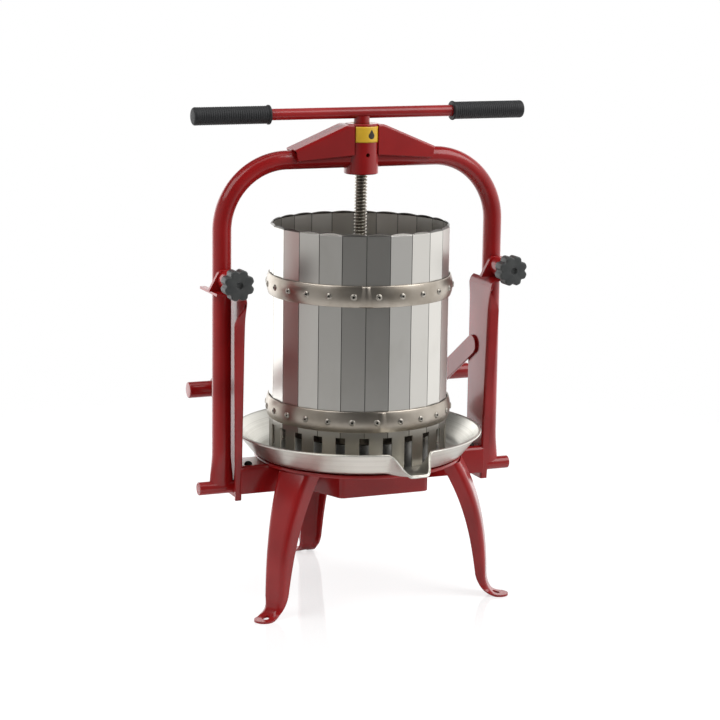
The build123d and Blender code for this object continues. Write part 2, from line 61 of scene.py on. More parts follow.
# %% [markdown]
# Surfaces as tables of points
#
# A turned hub, a bent tube and a folded sheet are all one idea: a table of points with rows and columns,
# where each cell of the table is a face. Blender could also make them by hand with its spin and extrude
# tools, but a table keeps the formula in sight and numpy fills it in one step. All tables are in
# millimetres; the mesh gets metres.


# %% Tables of points
def span(node):
    """Lowest and highest corner of a CAD node at rest, in millimetres."""
    low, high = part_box(node)
    return np.array(low) / MM, np.array(high) / MM


def table(points, round_rows=False, round_cols=False, ends=False):
    """A surface whose faces are the cells of a table of points (rows, columns, 3).

    A round direction joins its last line to its first; ends close the first and last row with one face.
    """
    rows, cols = points.shape[:2]
    row, col = np.meshgrid(
        np.arange(rows - (not round_rows)), np.arange(cols - (not round_cols)), indexing="ij"
    )
    below, beside = (row + 1) % rows, (col + 1) % cols
    corners = [row * cols + col, row * cols + beside, below * cols + beside, below * cols + col]
    quads = np.stack(corners, axis=-1).reshape(-1, 4)
    lids = [np.arange(cols)[::-1], np.arange((rows - 1) * cols, rows * cols)] if ends else []
    return points.reshape(-1, 3), quads, lids


def joined(*surfaces):
    """Several surfaces as one: their points in a row, and each one's faces counted from its own start."""
    starts = np.cumsum([0] + [len(points) for points, _, _ in surfaces])
    points = np.concatenate([part[0] for part in surfaces])
    quads = np.concatenate([part[1] + start for part, start in zip(surfaces, starts)])
    lids = [lid + start for part, start in zip(surfaces, starts) for lid in part[2]]
    return points, quads, lids


def mirrored(surface):
    """The same surface on the other side of the press: x changes sign and each face turns round."""
    points, quads, lids = surface
    return points * [-1, 1, 1], quads[:, ::-1], [lid[::-1] for lid in lids]


print("the tray's box in millimetres:", *np.round(span("tray"), 1))

# %% [markdown]
# Outlines
#
# Much of a press is turned on a lathe or cut from plate, and both start from an outline. Turned, it goes
# round an axis; as a plate, it is lifted to a thickness. No real corner is quite sharp, so an outline first
# gets its corners rounded. A bevel on the finished mesh could do that too, but it costs more faces and can't
# give each corner its own round.


# %% Outlines
def soften(corners, radius, closed=False, steps=6):
    """An outline with rounded corners, or a stack of outlines.

    Near a corner P the line leaves its side at A and joins the next side at B, each at most the radius
    away, along the curve (1-t)^2 A + 2t(1-t) P + t^2 B.
    """
    corners = np.asarray(corners, float)
    back = np.roll(corners, 1, axis=-2) - corners
    ahead = np.roll(corners, -1, axis=-2) - corners
    back_length = np.maximum(np.linalg.norm(back, axis=-1, keepdims=True), TINY)
    ahead_length = np.maximum(np.linalg.norm(ahead, axis=-1, keepdims=True), TINY)
    half_side = 0.49
    cut = np.minimum(np.reshape(radius, (-1, 1)), half_side * np.minimum(back_length, ahead_length))
    if not closed:
        cut[..., [0, -1], :] = 0
    leave = (corners + back / back_length * cut)[..., None, :]
    join = (corners + ahead / ahead_length * cut)[..., None, :]
    t = np.linspace(0, 1, steps)[:, None]
    curve = (1 - t) ** 2 * leave + 2 * t * (1 - t) * corners[..., None, :] + t**2 * join
    return curve.reshape(*corners.shape[:-2], -1, 2)


AXES = {"Z": [0, 1, 2], "X": [2, 0, 1], "Y": [1, 2, 0]}


def turned(profile, axis="Z", centre=(0, 0, 0), steps=72, ring=False):
    """A turned surface: each profile point (radius, height) goes round the axis as (r cos a, r sin a, h)."""
    angle = np.linspace(0, 2 * np.pi, steps, endpoint=False)
    radius, height = np.asarray(profile, float).T[:, :, None]
    points = np.stack([radius * np.cos(angle), radius * np.sin(angle), height + 0 * angle], axis=-1)
    return table(points[..., AXES[axis]] + np.asarray(centre), round_rows=ring, round_cols=True)


def prism(outline, low, high, axis="Z"):
    """A plate: a closed outline at a low and a high level along an axis, closed by two flat faces."""
    levels = np.array([low, high], float)
    flat = np.broadcast_to(np.asarray(outline, float), (2, *np.shape(outline)))
    heights = np.broadcast_to(levels[:, None, None], (2, len(outline), 1))
    points = np.concatenate([flat, heights], axis=-1)[..., AXES[axis]]
    return table(points, round_cols=True, ends=True)


square = soften([(0, 0), (1, 0), (1, 1), (0, 1)], 0.2, closed=True)
print("a square with soft corners has", len(square), "points")

# %% [markdown]
# From a table to a mesh
#
# A mesh takes a table's points and faces as they are. Where a turned profile meets its axis, or two tables
# share an edge, points lie on top of each other, so they are merged. Faces look smooth up to an angle that a
# rounded corner stays under and a real edge doesn't.

# %% Meshes
SHARP_ANGLE = np.radians(38)
MERGE_GAP = 0.002


def new_mesh(name, surface):
    """A mesh from a surface in millimetres: doubled points merge, and a closed shell faces outwards."""
    points, quads, lids = surface
    mesh = bpy.data.meshes.new(name)
    mesh.from_pydata((points * MM).tolist(), [], quads.tolist() + [lid.tolist() for lid in lids])
    shell = bmesh.new()
    shell.from_mesh(mesh)
    bmesh.ops.remove_doubles(shell, verts=shell.verts, dist=MERGE_GAP * MM)
    if all(edge.is_manifold for edge in shell.edges):
        bmesh.ops.recalc_face_normals(shell, faces=shell.faces)
    shell.to_mesh(mesh)
    shell.free()
    mesh.shade_smooth()
    mesh.set_sharp_from_angle(angle=SHARP_ANGLE)
    return mesh


def baked(piece):
    """Turn a piece's modifiers into its mesh."""
    graph = bpy.context.evaluated_depsgraph_get()
    mesh = bpy.data.meshes.new_from_object(piece.evaluated_get(graph))
    piece.modifiers.clear()
    piece.data = mesh


print("edges sharper than", round(np.degrees(SHARP_ANGLE)), "degrees stay sharp")

# %% [markdown]
# From a mesh to a piece
#
# A sheet-metal piece is drawn as its outer skin only. Solidify gives the skin its real thickness and
# Bevel breaks the sharp edges, as deburring and paint do, so that edges catch the light. The object stays
# at the origin with its place in its mesh, and rides on a body of the frame.

# %% Pieces
EDGE_STEPS = 2
finishes = {}


def new_piece(name, surface, body, slot, nodes=(), sheet=0.0, edge=0.0, cut=None, finish=None):
    """A piece that rides on a body: its skin, its sheet's thickness, a cut-out and its broken edges."""
    piece = bpy.data.objects.new(name, new_mesh(name, surface))
    bpy.context.scene.collection.objects.link(piece)
    if sheet:
        wall = piece.modifiers.new("wall", "SOLIDIFY")
        wall.thickness = sheet * MM
        wall.offset = -1
    if cut is not None:
        cutter = bpy.data.objects.new("cutter", new_mesh("cutter", cut))
        bpy.context.scene.collection.objects.link(cutter)
        opening = piece.modifiers.new("opening", "BOOLEAN")
        opening.object = cutter
        opening.solver = "EXACT"
        baked(piece)
        bpy.data.objects.remove(cutter)
    if edge:
        broken = piece.modifiers.new("broken edges", "BEVEL")
        broken.width = edge * MM
        broken.segments = EDGE_STEPS
        broken.limit_method = "ANGLE"
        broken.angle_limit = SHARP_ANGLE
        broken.harden_normals = True
    piece.data.materials.clear()
    piece.data.materials.append(finishes[finish or slot])
    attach(piece, body)
    if nodes:
        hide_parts(*nodes)
    return piece


def pair(name, right, body, slot, **how):
    """The right-hand piece and its mirror image, each standing for its own CAD node."""
    for side, surface in (("right", right), ("left", mirrored(right))):
        cut = how.get("cut")
        settings = dict(how, cut=mirrored(cut) if cut is not None and side == "left" else cut)
        new_piece(f"{side}_{name}", surface, body, slot, nodes=[f"{name}_{side}"], **settings)


print("CAD nodes to dress:", len(frame["nodes"]))

# %% [markdown]
# Finishes as written sums
#
# A material is a small calculation on the surface: where am I, how does the metal vary here, and what
# colour and gloss does that give. Blender draws it as boxes and wires; here a wire is a Python value, so
# 1 - mask adds a Math node by itself.


# %% Wires
class Wire:
    """One output of a node that can be used in a sum."""

    def __init__(self, graph, socket):
        self.graph = graph
        self.socket = socket

    def sum_with(self, operation, first, second):
        """A Math node on two values, of which one is this wire."""
        return self.graph.node("ShaderNodeMath", {"operation": operation}, {0: first, 1: second})

    def __add__(self, other):
        return self.sum_with("ADD", self, other)

    def __radd__(self, other):
        return self.sum_with("ADD", other, self)

    def __sub__(self, other):
        return self.sum_with("SUBTRACT", self, other)

    def __rsub__(self, other):
        return self.sum_with("SUBTRACT", other, self)

    def __mul__(self, other):
        return self.sum_with("MULTIPLY", self, other)

    def __rmul__(self, other):
        return self.sum_with("MULTIPLY", other, self)


print("wires can be added, subtracted and multiplied, from either side")

# %% [markdown]
# Graphs
#
# A graph holds the nodes of one material, or of the room. Any node comes from one method, and the few that
# most finishes need, such as noise, a blend of two colours or a bump, have a short name. Patterns read Object
# coordinates, so they stay on the piece when it moves; the thread's depth and the label's print come with
# their meshes.


# %% Graphs
class Graph:
    """The nodes of a material or of the world."""

    def __init__(self, owner):
        owner.use_nodes = True
        self.owner = owner
        self.tree = owner.node_tree

    def node(self, kind, settings=None, sockets=None, output=0):
        """Any node: its settings first, then the values or wires of its sockets; gives one output."""
        made = self.tree.nodes.new(kind)
        for key, value in (settings or {}).items():
            setattr(made, key, value)
        for key, value in (sockets or {}).items():
            self.feed(made.inputs[key], value)
        return Wire(self, made.outputs[output])

    def feed(self, socket, value):
        """Put a wire or a plain value into a socket."""
        if isinstance(value, Wire):
            self.tree.links.new(value.socket, socket)
        elif socket.type == "RGBA":
            socket.default_value = (*value, 1)
        else:
            socket.default_value = value

    def place(self):
        """Object coordinates, in metres."""
        return self.node("ShaderNodeTexCoord", output="Object")

    def axes(self, vector):
        """The three parts of a vector."""
        split = self.node("ShaderNodeSeparateXYZ", sockets={0: vector}).socket.node
        return [Wire(self, out) for out in split.outputs]

    def noise(self, place, scale, stretch=(1, 1, 1), detail=3.0):
        """Soft noise with about this many spots to the metre, stretched along chosen axes."""
        spread = self.node("ShaderNodeVectorMath", {"operation": "MULTIPLY"}, {0: place, 1: stretch})
        return self.node("ShaderNodeTexNoise", sockets={"Vector": spread, "Scale": scale, "Detail": detail})

    def blend(self, share, first, second):
        """From the first colour to the second by a share."""
        settings = {"data_type": "RGBA", "clamp_factor": True}
        return self.node("ShaderNodeMix", settings, {0: share, 6: first, 7: second}, output=2)

    def between(self, value, low, high):
        """0 up to low, 1 from high, and smooth in between."""
        settings = {"interpolation_type": "SMOOTHSTEP"}
        return self.node("ShaderNodeMapRange", settings, {0: value, 1: low, 2: high})

    def bump(self, height, strength, distance):
        """A surface normal from a height, where distance is the real height in millimetres."""
        sockets = {"Height": height, "Strength": strength, "Distance": distance * MM}
        return self.node("ShaderNodeBump", sockets=sockets)


print("short names:", ", ".join(name for name in vars(Graph) if not name.startswith("_")))

# %% [markdown]
# Starting a finish
#
# Every finish is one shader with its sockets fed by wires or plain values. Colours are written as they
# show on a screen, because that is how a maker compares them, and turned into the shader's linear numbers.


# %% Starting a finish
def new_finish(name, slot=None):
    """A fresh material with its graph and its shader; it becomes the finish of that slot."""
    material = bpy.data.materials.new(name)
    graph = Graph(material)
    finishes[slot or name] = material
    return graph


def settle(graph, **sockets):
    """Feed the shader's sockets; a socket's words are joined by low lines."""
    shader = graph.tree.nodes["Principled BSDF"]
    for name, value in sockets.items():
        graph.feed(shader.inputs[name.replace("_", " ")], value)


def srgb(red, green, blue):
    """A colour as it shows on a screen, 0 to 255, in the linear numbers that shaders use."""
    share = np.array([red, green, blue]) / 255
    return tuple(np.where(share < 0.04045, share / 12.92, ((share + 0.055) / 1.055) ** 2.4).tolist())


print("a mid red on screen is", np.round(srgb(135, 46, 44), 3), "in the shader")

# %% [markdown]
# Red enamel
#
# The frame is sprayed with a deep red enamel that levels to a glossy skin with a faint orange peel. A
# single colour looks like plastic, so the paint pools a little darker in soft patches, and a fine ripple
# breaks up the reflections. The gloss itself is a clear coat over a satin base.

# %% Red enamel
paint = new_finish("red_enamel", "red_paint")
here = paint.place()
pooled = paint.noise(here, 14, detail=2.0)
speck = paint.noise(here, 420, detail=1.0)
ripple = paint.noise(here, 620, detail=1.0)
paint_light, paint_deep, paint_dust = srgb(165, 28, 29), srgb(145, 21, 22), srgb(168, 54, 52)
coat_colour = paint.blend(paint.between(pooled, 0.35, 0.7), paint_light, paint_deep)
coat_colour = paint.blend(paint.between(speck, 0.68, 0.8) * 0.25, coat_colour, paint_dust)
settle(paint, Base_Color=coat_colour, Roughness=pooled * 0.12 + 0.4, Specular_IOR_Level=0.05, Coat_Weight=0.9,
       Coat_Roughness=0.18, Normal=paint.bump(ripple, 0.05, 0.1))
print("made", paint.owner.name)

# %% [markdown]
# Brushed steel for the staves
#
# The staves are cut from sheet that was brushed along its length, so fine lines run up and down and the
# roughness varies with them. Each stave comes from another part of the sheet, so its tone is a little its
# own: the number of the stave, counted from its angle round the cage, picks it. A picture could give the
# same streaks, but sums on the place need no file and stay sharp at any size.

# %% Brushed steel
STAVES = 24
stave_low, stave_high = span("stave_01")
first_stave = np.arctan2(stave_low[1] + stave_high[1], stave_low[0] + stave_high[0])
LOWER_HOOP_SPAN = tuple(corner[2] * MM for corner in span("hoop_lower"))
SEAM_SHADE_EDGE = (0.478, 0.49)
RIM_SHADE_EDGE = np.array([3.2, 2.2])
RIM_SHADE_LINE = tuple((stave_high[2] - RIM_SHADE_EDGE) * MM)


def brushed_steel():
    """Steel with upright brush lines, a tone for each stave, faint smudges, painted shade in the seams
    between staves and on the folded rim, and darker towards the bottom, below the lower hoop."""
    steel = new_finish("brushed_steel", "cage_steel")
    here = steel.place()
    x, y, z = steel.axes(here)
    angle = steel.node("ShaderNodeMath", {"operation": "ARCTAN2"}, {0: y, 1: x})
    count = (angle - float(first_stave)) * (STAVES / (2 * np.pi)) + STAVES
    number = steel.node("ShaderNodeMath", {"operation": "ROUND"}, {0: count})
    tone = steel.node("ShaderNodeTexWhiteNoise", {"noise_dimensions": "1D"}, {"W": number})
    lines = steel.noise(here, 900, stretch=(1, 1, 0.012), detail=2.0)
    smudge = steel.noise(here, 22, stretch=(1, 1, 0.6), detail=4.0)
    shade = steel.blend(tone, srgb(203, 200, 194), srgb(213, 211, 206))
    shade = steel.blend(steel.between(smudge, 0.5, 0.8) * 0.3, shade, srgb(184, 180, 172))
    # Darker towards the bottom: below the lower hoop the staves blend to a darker grey.
    darker_below = 1 - steel.between(z, *LOWER_HOOP_SPAN)
    shade = steel.blend(darker_below * 0.75, shade, srgb(132, 127, 117))
    aside = steel.node("ShaderNodeMath", {"operation": "ABSOLUTE"}, {0: count - number})
    # Painted shade: a dark line along each seam between staves, where shade falls in the gap.
    seam_shade = steel.between(aside, *SEAM_SHADE_EDGE)
    # Painted shade: the folded rim at the top of each stave is blended to a dark grey.
    rim = steel.between(z, *RIM_SHADE_LINE)
    shade = steel.blend(seam_shade * 0.8, shade, srgb(48, 44, 40))
    shade = steel.blend(rim * 0.85, shade, srgb(72, 69, 65))
    rough = lines * 0.05 + smudge * 0.08 + 0.26
    settle(steel, Base_Color=shade, Metallic=1.0, Roughness=rough, Normal=steel.bump(lines, 0.05, 0.02))
    return steel


print("made", brushed_steel().owner.name)

# %% [markdown]
# Spun steel for the tray
#
# The tray was spun and drawn, so its lines run round the axis. The same noise gives them when it reads the
# distance from the axis instead of the place itself. The floor under the cage is painted dark, as painted
# shade.

# %% Spun steel
FLOOR_SHADE_EDGE = (0.1, 0.112)


def spun_steel():
    """Steel with fine lines round the axis: noise on the distance from the axis and the height; the floor
    is painted dark where the cage stands, as painted shade."""
    steel = new_finish("spun_steel", "tray_steel")
    here = steel.place()
    x, y, z = steel.axes(here)
    reach = steel.node("ShaderNodeMath", {"operation": "SQRT"}, {0: x * x + y * y})
    along = steel.node("ShaderNodeCombineXYZ", sockets={0: reach, 1: z})
    lines = steel.noise(along, 700, detail=2.0)
    smudge = steel.noise(here, 16, detail=4.0)
    shade = steel.blend(steel.between(smudge, 0.4, 0.75), srgb(221, 219, 211), srgb(206, 203, 193))
    shade = steel.blend(steel.between(lines, 0.45, 0.75) * 0.4, shade, srgb(178, 174, 164))
    # Painted shade: the floor under the cage is blended to a dark grey, where the cage shadows it.
    shade = steel.blend((1 - steel.between(reach, *FLOOR_SHADE_EDGE)) * 0.7, shade, srgb(66, 62, 56))
    rough = lines * 0.14 + smudge * 0.1 + 0.2
    settle(steel, Base_Color=shade, Metallic=1.0, Roughness=rough, Normal=steel.bump(lines, 0.15, 0.04))
    return steel


print("made", spun_steel().owner.name)

# %% [markdown]
# Rivets and hoops
#
# The rivets are pressed bright and keep a fine grain. The hoops are rolled from a duller strip: their lines
# run along the band, and the rolls have left warm smudges.


# %% Rivets and hoops
def rivet_steel():
    """Bright pressed rivet heads with a fine grain."""
    steel = new_finish("rivet_steel", "rivet_steel")
    grain = steel.noise(steel.place(), 1500)
    settle(steel, Base_Color=srgb(168, 163, 154), Metallic=1.0, Roughness=grain * 0.2 + 0.3)
    return steel


def rolled_steel():
    """The hoops' duller strip: fine lines along the band and warm smudges left by rolling."""
    steel = new_finish("rolled_steel")
    here = steel.place()
    lines = steel.noise(here, 900, stretch=(0.02, 0.02, 1), detail=2.0)
    smudge = steel.noise(here, 30, detail=4.0)
    shade = steel.blend(steel.between(smudge, 0.35, 0.7), srgb(180, 172, 161), srgb(158, 149, 137))
    rough = lines * 0.08 + smudge * 0.1 + 0.25
    settle(steel, Base_Color=shade, Metallic=1.0, Roughness=rough, Normal=steel.bump(lines, 0.06, 0.02))
    return steel


for steel in (rivet_steel(), rolled_steel()):
    print("made", steel.owner.name)

# %% [markdown]
# Dark metals
#
# The screw is plain steel, a little blackened, and darker in the roots of its thread.
# The thread's mesh carries its own depth as an attribute, so the finish follows the groove exactly. The
# bolts and the rivets' broken-off pins are blackened steel, and the pins' black is also painted shade in the
# rivets' holes. The nut in the boss is bronze, and the press plate is dark steel, as painted shade inside the
# cage.


# %% Dark metals
def root_dark_steel():
    """Steel that is bright on the crests and darker in the roots, by the mesh's depth attribute."""
    steel = new_finish("root_dark_steel", "screw_steel")
    depth = steel.node("ShaderNodeAttribute", {"attribute_name": "depth"}, output="Fac")
    stain = steel.noise(steel.place(), 160, stretch=(1, 1, 0.4))
    # Darker in the thread's roots, by the groove's depth.
    root = steel.between(depth + stain * 0.3, 0.35, 1.05)
    shade = steel.blend(root, srgb(206, 200, 188), srgb(112, 105, 94))
    settle(steel, Base_Color=shade, Metallic=1.0, Roughness=root * 0.18 + stain * 0.16 + 0.2)
    return steel


def plain_metal(name, slot, light, dark, metallic, rough):
    """A metal with soft stains between two tones."""
    metal = new_finish(name, slot)
    stain = metal.noise(metal.place(), 180)
    shade = metal.blend(metal.between(stain, 0.35, 0.7), light, dark)
    settle(metal, Base_Color=shade, Metallic=metallic, Roughness=stain * 0.15 + rough)
    return metal


for metal in (
    root_dark_steel(),
    plain_metal("black_steel", "black_steel", srgb(58, 56, 54), srgb(34, 33, 32), 0.7, 0.34),
    plain_metal("bronze", "bronze", srgb(176, 138, 84), srgb(138, 100, 58), 1.0, 0.26),
    # Dark steel for the press plate: painted shade for the inside of the cage.
    plain_metal("shaded_plate_steel", "shaded_plate_steel", srgb(92, 86, 78), srgb(62, 58, 52), 1.0, 0.36),
):
    print("made", metal.owner.name)

# %% [markdown]
# Rubber and plastic
#
# The grips are matt black rubber and the star knobs are black moulded plastic with a spark-eroded grain.
# Both are one recipe with other numbers: two near tones in soft clouds, and a fine grain in the gloss.


# %% Rubber and plastic
def moulded(name, slot, light, dark, rough, grain_scale, grain_height):
    """A moulded skin: two near tones, and a grain that also roughens the gloss."""
    skin = new_finish(name, slot)
    here = skin.place()
    grain = skin.noise(here, grain_scale, detail=2.0)
    cloud = skin.noise(here, 60)
    shade = skin.blend(skin.between(cloud, 0.3, 0.75), dark, light)
    settle(skin, Base_Color=shade, Roughness=grain * 0.14 + cloud * 0.1 + rough,
           Normal=skin.bump(grain, 0.35, grain_height))
    return skin


for skin in (
    moulded("grip_rubber", "grip_rubber", srgb(31, 32, 34), srgb(25, 26, 28), 0.5, 900, 0.03),
    moulded("knob_plastic", "knob_plastic", srgb(72, 74, 73), srgb(58, 60, 60), 0.34, 1400, 0.08),
):
    print("made", skin.owner.name)

# %% [markdown]
# The label's print
#
# The label on the boss is a plain yellow sticker with an oil drop. Its mesh has a UV map from 0 to 1 both
# ways, and the drop is a circle that narrows to a point: a sum on that map, with no picture.

# %% Label print
DROP_STRETCH, DROP_MIDDLE, DROP_EDGE = 1.9, 0.42, (0.038, 0.046)
DROP_TIP, DROP_LEAN, DROP_NECK = 0.43, 0.56, (0.05, 0.07)


def sticker():
    """Yellow with a dark oil drop: a round foot of radius r, and above it sides that lean in to a tip."""
    label = new_finish("label_yellow")
    u, v, _ = label.axes(label.node("ShaderNodeUVMap", {"uv_map": "label"}))
    across = (u - 0.5) * DROP_STRETCH
    up = v - DROP_MIDDLE
    round_foot = 1 - label.between(across * across + up * up, *DROP_EDGE)
    lean = (DROP_TIP - up) * DROP_LEAN
    aside = label.node("ShaderNodeMath", {"operation": "ABSOLUTE"}, {0: across})
    tip = label.between(lean - aside, 0.0, 0.02) * label.between(up, *DROP_NECK)
    drop = label.node("ShaderNodeMath", {"operation": "MAXIMUM"}, {0: round_foot, 1: tip})
    faded = label.noise(label.place(), 120)
    yellow = label.blend(faded, srgb(244, 198, 54), srgb(228, 180, 46))
    shade = label.blend(drop, yellow, srgb(48, 40, 26))
    settle(label, Base_Color=shade, Roughness=faded * 0.1 + 0.35)
    return label


print("made", sticker().owner.name)

# %% [markdown]
# Finishes on the CAD nodes that stay
#
# Some nodes already have the right shape: the handle bar, the hub, the press plate inside the cage. They
# keep their mesh and get the new finish of their slot, apart from the press plate, which gets a dark steel as
# painted shade.

# %% Repaint the CAD nodes
for name, node in frame["nodes"].items():
    slot_name = node.data.materials[0].name
    # The press plate gets the dark steel, as painted shade inside the cage.
    node.data.materials[0] = finishes["shaded_plate_steel" if name == "press_plate" else slot_name]
print("repainted", len(frame["nodes"]), "nodes")

# %% [markdown]
# The yoke
#
# The yoke is bent from round tube. Each half leaves the boss level, turns down in a quarter circle, and
# runs straight to its pivot, where the end is pressed into an oval. A path and a section that changes
# along it give all of that: the section is a circle that eases into an ellipse towards the foot.

# %% Yoke tubes
knob_low, knob_high = span("knob_right")
tube_x, _, stud_z = (knob_low + knob_high) / 2
sleeve_low, sleeve_high = span("pivot_sleeve_right")
pivot_z = (sleeve_low[2] + sleeve_high[2]) / 2
sleeve_radius = (sleeve_high[2] - sleeve_low[2]) / 2
boss_low, boss_high = span("screw_boss")
boss_radius = boss_high[0]
tube_high = span("yoke_tube_right")[1]
tube_radius = tube_high[1]
tube_top = tube_high[2] - tube_radius
TUBE_BEND = 82.0
FOOT_FLARE = 40.0
FOOT_WIDE, FOOT_THIN = 15.0, 7.5
bend_centre = np.array([tube_x - TUBE_BEND, tube_top - TUBE_BEND])


def ease(share):
    """A smooth step from 0 to 1: 3s^2 - 2s^3."""
    share = np.clip(share, 0, 1)
    return share * share * (3 - 2 * share)


def tube(path, across, out, around=48):
    """A closed bar along a path in the XZ plane: its section is an ellipse with half axes across (in Y) and
    out (square to the path), one of each for every path point."""
    tangent = np.gradient(path, axis=0)
    tangent /= np.linalg.norm(tangent, axis=1, keepdims=True)
    square = np.stack([tangent[:, 2], 0 * tangent[:, 0], -tangent[:, 0]], axis=-1)
    angle = np.linspace(0, 2 * np.pi, around, endpoint=False)[None, :, None]
    out, across = np.reshape(out, (-1, 1, 1)), np.reshape(across, (-1, 1, 1))
    ring = out * np.cos(angle) * square[:, None] + across * np.sin(angle) * np.array([0.0, 1.0, 0.0])
    return table(path[:, None] + ring, round_cols=True, ends=True)


def yoke_half():
    """Straight leg, quarter circle and level run; the section eases to an oval over the flare."""
    upright = np.linspace(pivot_z, bend_centre[1], 40)
    turn = np.linspace(0, np.pi / 2, 40)[1:]
    level = np.linspace(bend_centre[0], boss_radius - tube_radius / 2, 12)[1:]
    x = np.concatenate([0 * upright + tube_x, bend_centre[0] + TUBE_BEND * np.cos(turn), level])
    z = np.concatenate([upright, bend_centre[1] + TUBE_BEND * np.sin(turn), 0 * level + tube_top])
    press = ease(1 - (z - pivot_z - sleeve_radius / 2) / FOOT_FLARE)
    press[len(upright):] = 0
    path = np.stack([x, 0 * x, z], axis=-1)
    return tube(path, tube_radius + (FOOT_THIN - tube_radius) * press,
                tube_radius + (FOOT_WIDE - tube_radius) * press)


pair("yoke_tube", yoke_half(), "yoke", "red_paint")
print("yoke tube of radius", tube_radius, "at x", tube_x)

# %% [markdown]
# Pivot sleeves
#
# A sleeve is welded across each pressed foot and turns on a pin of the frame. It is a short turned ring, so
# its section, a rectangle with broken corners, goes round the pin's axis.

# %% Pivot sleeves
SLEEVE_EDGE = 0.8
PIN_GAP = 0.05
bore_radius = span("pivot_pins")[1][1] + PIN_GAP
sleeve_wall = soften(
    [(sleeve_radius, sleeve_low[0]), (sleeve_radius, sleeve_high[0]), (bore_radius, sleeve_high[0]),
     (bore_radius, sleeve_low[0])], SLEEVE_EDGE, closed=True)
pair("pivot_sleeve", turned(sleeve_wall, "X", (0, 0, pivot_z), ring=True), "yoke", "red_paint")
print("pivot at z", pivot_z, "with a bore of radius", round(bore_radius, 2))

# %% [markdown]
# Saddles
#
# The boss in the middle of the yoke is a turned block that holds the nut, and its CAD node stays. Two
# folded hoods brace it on the tube: each starts on the round of the boss, slopes down and ends in a
# slanted toe. A hood is a U-shaped section whose top sinks along its length, so a table of rows along x and
# columns over the fold makes it.

# %% Saddles
SADDLE_SHOULDER, SADDLE_TOE, SADDLE_HEEL = 23.0, 90.5, 87.5
SADDLE_SHEET = 2.5
SADDLE_FOLD = 5.0
SADDLE_LIFT = 5.0
WELD_RADIUS, WELD_RIPPLE, WELD_PITCH = 1.7, 0.25, 3.4
saddle_half = span("saddle_right")[1][1]
toe_z = tube_top + tube_radius + SADDLE_SHEET


def saddle_hood():
    """Rows run from the boss to the toe, columns over the fold; the top sinks from the shoulder to the toe,
    and the lower edge sinks on to the middle of the tube."""
    share = np.linspace(0, 1, 24)[:, None]
    fold = soften([(-saddle_half, 0), (-saddle_half, 1), (saddle_half, 1), (saddle_half, 0)],
                  [0, SADDLE_FOLD, SADDLE_FOLD, 0], steps=8)
    y, rise = fold[:, 0], fold[:, 1]
    flank = np.abs(y) >= saddle_half - TINY
    start = np.sqrt(boss_radius**2 - y**2)
    end = SADDLE_HEEL + (SADDLE_TOE - SADDLE_HEEL) * rise
    x = start + (end - start) * share
    slope = np.clip((x - SADDLE_SHOULDER) / (SADDLE_TOE - SADDLE_SHOULDER), 0, 1)
    top = boss_high[2] + (toe_z - boss_high[2]) * slope
    past_fold = (np.abs(y) - saddle_half + SADDLE_FOLD).clip(0) / SADDLE_FOLD
    curl = SADDLE_FOLD * (1 - np.sqrt((1 - past_fold**2).clip(0, 1)))
    foot = tube_top + SADDLE_LIFT * (1 - share)
    z = np.where(flank, foot + (top - SADDLE_FOLD - foot) * rise, top - curl)
    return table(np.stack([x, y + 0 * x, z], axis=-1))


def saddle_weld(side):
    """A bead along a hood's lower edge: a bar whose radius ripples as R + r cos(2 pi x / pitch)."""
    share = np.linspace(0, 1, 140)
    start = np.sqrt(boss_radius**2 - saddle_half**2)
    x = start + (SADDLE_HEEL - start) * share
    z = tube_top + SADDLE_LIFT * (1 - share)
    path = np.stack([x, 0 * x + side * (saddle_half - WELD_RADIUS), z], axis=-1)
    radius = WELD_RADIUS + WELD_RIPPLE * np.cos(2 * np.pi * x / WELD_PITCH)
    return tube(path, radius, radius, around=16)


pair("saddle", saddle_hood(), "yoke", "red_paint", sheet=SADDLE_SHEET, edge=0.5)
beads = joined(saddle_weld(-1), saddle_weld(1))
new_piece("saddle_welds", joined(beads, mirrored(beads)), "yoke", "red_paint")
print("boss from z", boss_low[2], "to", boss_high[2])

# %% [markdown]
# The label
#
# A sticker is a thin patch wrapped on the boss: angle one way and height the other, a fraction of a
# millimetre proud of the paint. A mark in the boss's own finish would do too, but the boss keeps its CAD
# mesh, and a patch of its own is easy to leave off.

# %% Label
LABEL_FROM, LABEL_TO = np.radians(-132), np.radians(-23)
LABEL_LOW, LABEL_HIGH = tube_top + 20.0, tube_top + 39.0
LABEL_PROUD = 0.25
LABEL_FILM = 0.2


def label_patch():
    """Points on a cylinder just over the boss, with u along the angle and v up the height."""
    angle = np.linspace(LABEL_FROM, LABEL_TO, 40)
    height = np.linspace(LABEL_LOW, LABEL_HIGH, 12)[:, None]
    reach = boss_radius + LABEL_PROUD
    points = np.stack([reach * np.cos(angle) + 0 * height, reach * np.sin(angle) + 0 * height,
                       height + 0 * angle], axis=-1)
    return table(points)


label = new_piece("oil_label", label_patch(), "yoke", None, sheet=LABEL_FILM, finish="label_yellow")
corner_points = np.empty(len(label.data.loops), int)
label.data.loops.foreach_get("vertex_index", corner_points)
places = np.empty(len(label.data.vertices) * 3)
label.data.vertices.foreach_get("co", places)
places = places.reshape(-1, 3) / MM
u = (np.arctan2(places[:, 1], places[:, 0]) - LABEL_FROM) / (LABEL_TO - LABEL_FROM)
v = (places[:, 2] - LABEL_LOW) / (LABEL_HIGH - LABEL_LOW)
label_map = label.data.uv_layers.new(name="label")
label_map.data.foreach_set("uv", np.stack([u, v], axis=-1)[corner_points].ravel())
print("label", round((LABEL_TO - LABEL_FROM) * boss_radius, 1), "mm wide")

# %% [markdown]
# The screw
#
# A press screw has a coarse trapezoid thread. On a table with height one way and angle the other, the
# radius only depends on how far round the helix a point is: height over pitch minus turns. Clipping a
# triangle wave gives flat crests and roots with slanted flanks.

